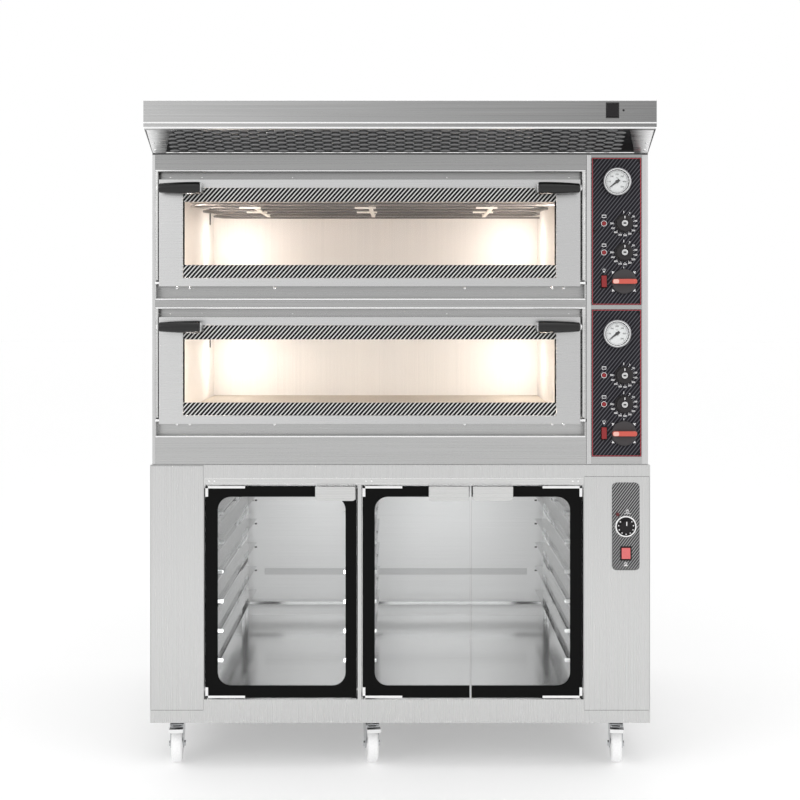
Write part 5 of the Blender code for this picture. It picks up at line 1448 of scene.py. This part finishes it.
def louvre(centre, width, height, rise):
    """A lens-shaped dome on the slope: a filled circle, drawn in and lifted twice."""
    start_fresh()
    bpy.ops.mesh.primitive_circle_add(vertices=14, radius=0.5, fill_type="NGON")
    piece = bpy.context.object
    bpy.ops.object.mode_set(mode="EDIT")
    bpy.ops.mesh.select_all(action="SELECT")
    bpy.ops.mesh.inset(thickness=0.16)
    bpy.ops.transform.translate(value=(0.0, 0.0, 0.7))
    bpy.ops.mesh.inset(thickness=0.16)
    bpy.ops.transform.translate(value=(0.0, 0.0, 0.3))
    bpy.ops.mesh.select_all(action="SELECT")
    bpy.ops.mesh.normals_make_consistent(inside=False)
    bpy.ops.object.mode_set(mode="OBJECT")
    piece.scale = (width, height, rise)
    settle(piece)
    piece.rotation_euler = (SLOPE_TURN, 0.0, 0.0)
    piece.location = centre
    return settle(piece)


first_scale = louvre((0.0, 0.0, 0.0), 0.0310, 0.0135, 0.0036)
scales = []
for row in range(LOUVRE_ROWS):
    spot = SLOPE_LOW.lerp(SLOPE_HIGH, 0.075 + 0.86 * row / (LOUVRE_ROWS - 1))
    shift = LOUVRE_PITCH / 2 if row % 2 else 0.0
    for column in range(LOUVRE_COLUMNS):
        scales.append(copy_of(first_scale, (LOUVRE_LEFT_X + shift + column * LOUVRE_PITCH, spot.y, spot.z)))
start_fresh(first_scale)
bpy.ops.object.delete()
finish_piece(join(scales), "filter_louvres", "oven", louvre_steel)
print("filter made,", len(scales), "louvres")

# %% [markdown]
# ## Fan, heater and flue
#
# These sit out of sight from the front: the impeller under the flue, and the
# proofer's heater with its slotted cover.

# %% Dress the hidden pieces
dress_node("hood_fan", "fan_wheel", "hood_impeller", zinc_plate, 0.0004, 1)
dress_node("proofer_heater", "heater_box", "oven", cabinet_steel, 0.0004, 1)
flue = turned([(0.0741, 0.0), (0.0778, 0.0), (0.0778, 0.0480), (0.0785, 0.0496), (0.0785, 0.0504),
               (0.0775, 0.0510), (0.0745, 0.0510), (0.0741, 0.0500), (0.0741, 0.0)],
              (0.0, 0.300, BAND_HIGH), UP, 96)
finish_piece(flue, "flue_collar", "oven", zinc_plate, 50.0)
print("fan, heater and flue done")

# %% [markdown]
# ## Castors
#
# Each castor is a pressed zinc-plated fork that swivels under a plate, with a
# domed white nylon wheel. The three front ones have a foot brake.

# %% Wheels
WHEEL_PROFILE = [(0.0053, -0.0160), (0.0120, -0.0160), (0.0140, -0.0150), (0.0150, -0.0115),
                 (0.0280, -0.0122), (0.0380, -0.0150), (0.0440, -0.0148), (0.0480, -0.0125),
                 (0.0496, -0.0080), (0.0500, 0.0), (0.0496, 0.0080), (0.0480, 0.0125), (0.0440, 0.0148),
                 (0.0380, 0.0150), (0.0280, 0.0122), (0.0150, 0.0115), (0.0140, 0.0150), (0.0120, 0.0160),
                 (0.0053, 0.0160), (0.0053, -0.0160)]
RACE_PROFILE = [(0.0306, 0.0), (0.0318, 0.0008), (0.0318, 0.0030), (0.0306, 0.0038), (0.0295, 0.0038),
                (0.0295, 0.0), (0.0306, 0.0)]
CASTORS = {"front_left": (-0.630, -0.332, 6.0, True), "front_middle": (-0.085, -0.332, 8.0, True),
           "front_right": (0.610, -0.332, -6.0, True), "rear_left": (-0.630, 0.450, 0.0, False),
           "rear_right": (0.610, 0.450, 0.0, False)}
TRAIL, AXLE_Z, RACE_Z = 0.032, 0.050, 0.1150
for name, (x, y, turn, brake) in CASTORS.items():
    angle = math.radians(turn)
    heading = Vector((math.cos(angle), math.sin(angle), 0.0))
    axle = Vector((x, y, 0.0)) + Vector((math.sin(angle), -math.cos(angle), 0.0)) * TRAIL
    axle.z = AXLE_Z
    wheel = turned(WHEEL_PROFILE, axle, heading, 72)
    finish_piece(wheel, f"{name}_tyre", f"{name}_wheel", nylon_white, 50.0)
    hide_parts(f"{name}_castor_wheel")
    dress_node(f"{name}_castor_fork", f"{name}_cheeks", f"{name}_fork", zinc_plate, 0.0006)
    race = turned(RACE_PROFILE, (x, y, RACE_Z), UP, 40)
    finish_piece(race, f"{name}_race", f"{name}_fork", bright_steel, 50.0)
    if brake:
        dress_node(f"{name}_brake_lever", f"{name}_pedal", f"{name}_brake", bright_steel,
                   0.0009, 3)
print("castors made:", len(CASTORS))

# %% [markdown]
# ## Sides and back
#
# Louvred vents let heat out of the casing. A louvre is a strip of sheet pushed
# out along one edge, so its top is closed and its bottom is open and dark.

# %% Vents and back screws
LOUVRE_HALF_HEIGHT, LOUVRE_PROUD, LOUVRE_SUNK, VENT_PITCH = 0.006, 0.005, 0.0042, 0.024


def vent_louvre(centre, length, outward, along_axis):
    """A bowed strip that stands off a vertical panel."""
    x, y, z = centre
    half, low, high = length / 2, z - LOUVRE_HALF_HEIGHT, z + LOUVRE_HALF_HEIGHT
    if along_axis == "y":
        piece = block((x, y - half, low), (x + outward * LOUVRE_PROUD, y + half, high))
        move = (-outward * LOUVRE_SUNK, 0.0, 0.0)
    else:
        piece = block((x - half, y, low), (x + half, y + outward * LOUVRE_PROUD, high))
        move = (0.0, -outward * LOUVRE_SUNK, 0.0)
    side, wall = (0, x) if along_axis == "y" else (1, y)
    choose(piece, "VERT", lambda co: co.z > z and abs(co[side] - wall) > 0.001)
    bpy.ops.transform.translate(value=move)
    bpy.ops.object.mode_set(mode="OBJECT")
    return ease(piece, 0.0006)


casing_low, casing_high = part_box("oven_casing")
vents = []
for z in [1.46 + VENT_PITCH * row for row in range(7)]:
    for side_x, way in ((casing_low.x + 0.0002, -1), (casing_high.x - 0.0002, 1)):
        vents.append(vent_louvre((side_x, 0.380, z), 0.120, way, "y"))
for z in [0.98 + VENT_PITCH * row for row in range(8)]:
    for x in (-0.40, 0.40):
        vents.append(vent_louvre((x, casing_high.y - 0.0002, z), 0.160, 1, "x"))
# The vents take the casing's steel, with its painted shade toward the top.
finish_piece(join(vents), "casing_vents", "oven", oven_steel_painted_shade)
back_screws = [screw((x, casing_high.y, z), 0.0040, (0.0, 1.0, 0.0))
               for x in (-0.665, -0.222, 0.222, 0.665) for z in (0.865, 1.130, 1.400, 1.680)]
for y in (-0.380, 0.060, 0.530):
    for z in (0.865, 1.680):
        back_screws.append(screw((casing_low.x, y, z), 0.0040, (-1.0, 0.0, 0.0)))
        back_screws.append(screw((casing_high.x, y, z), 0.0040, (1.0, 0.0, 0.0)))
finish_piece(join(back_screws), "casing_screws", "oven", bright_steel)
print("vents:", len(vents), "screws:", len(back_screws))
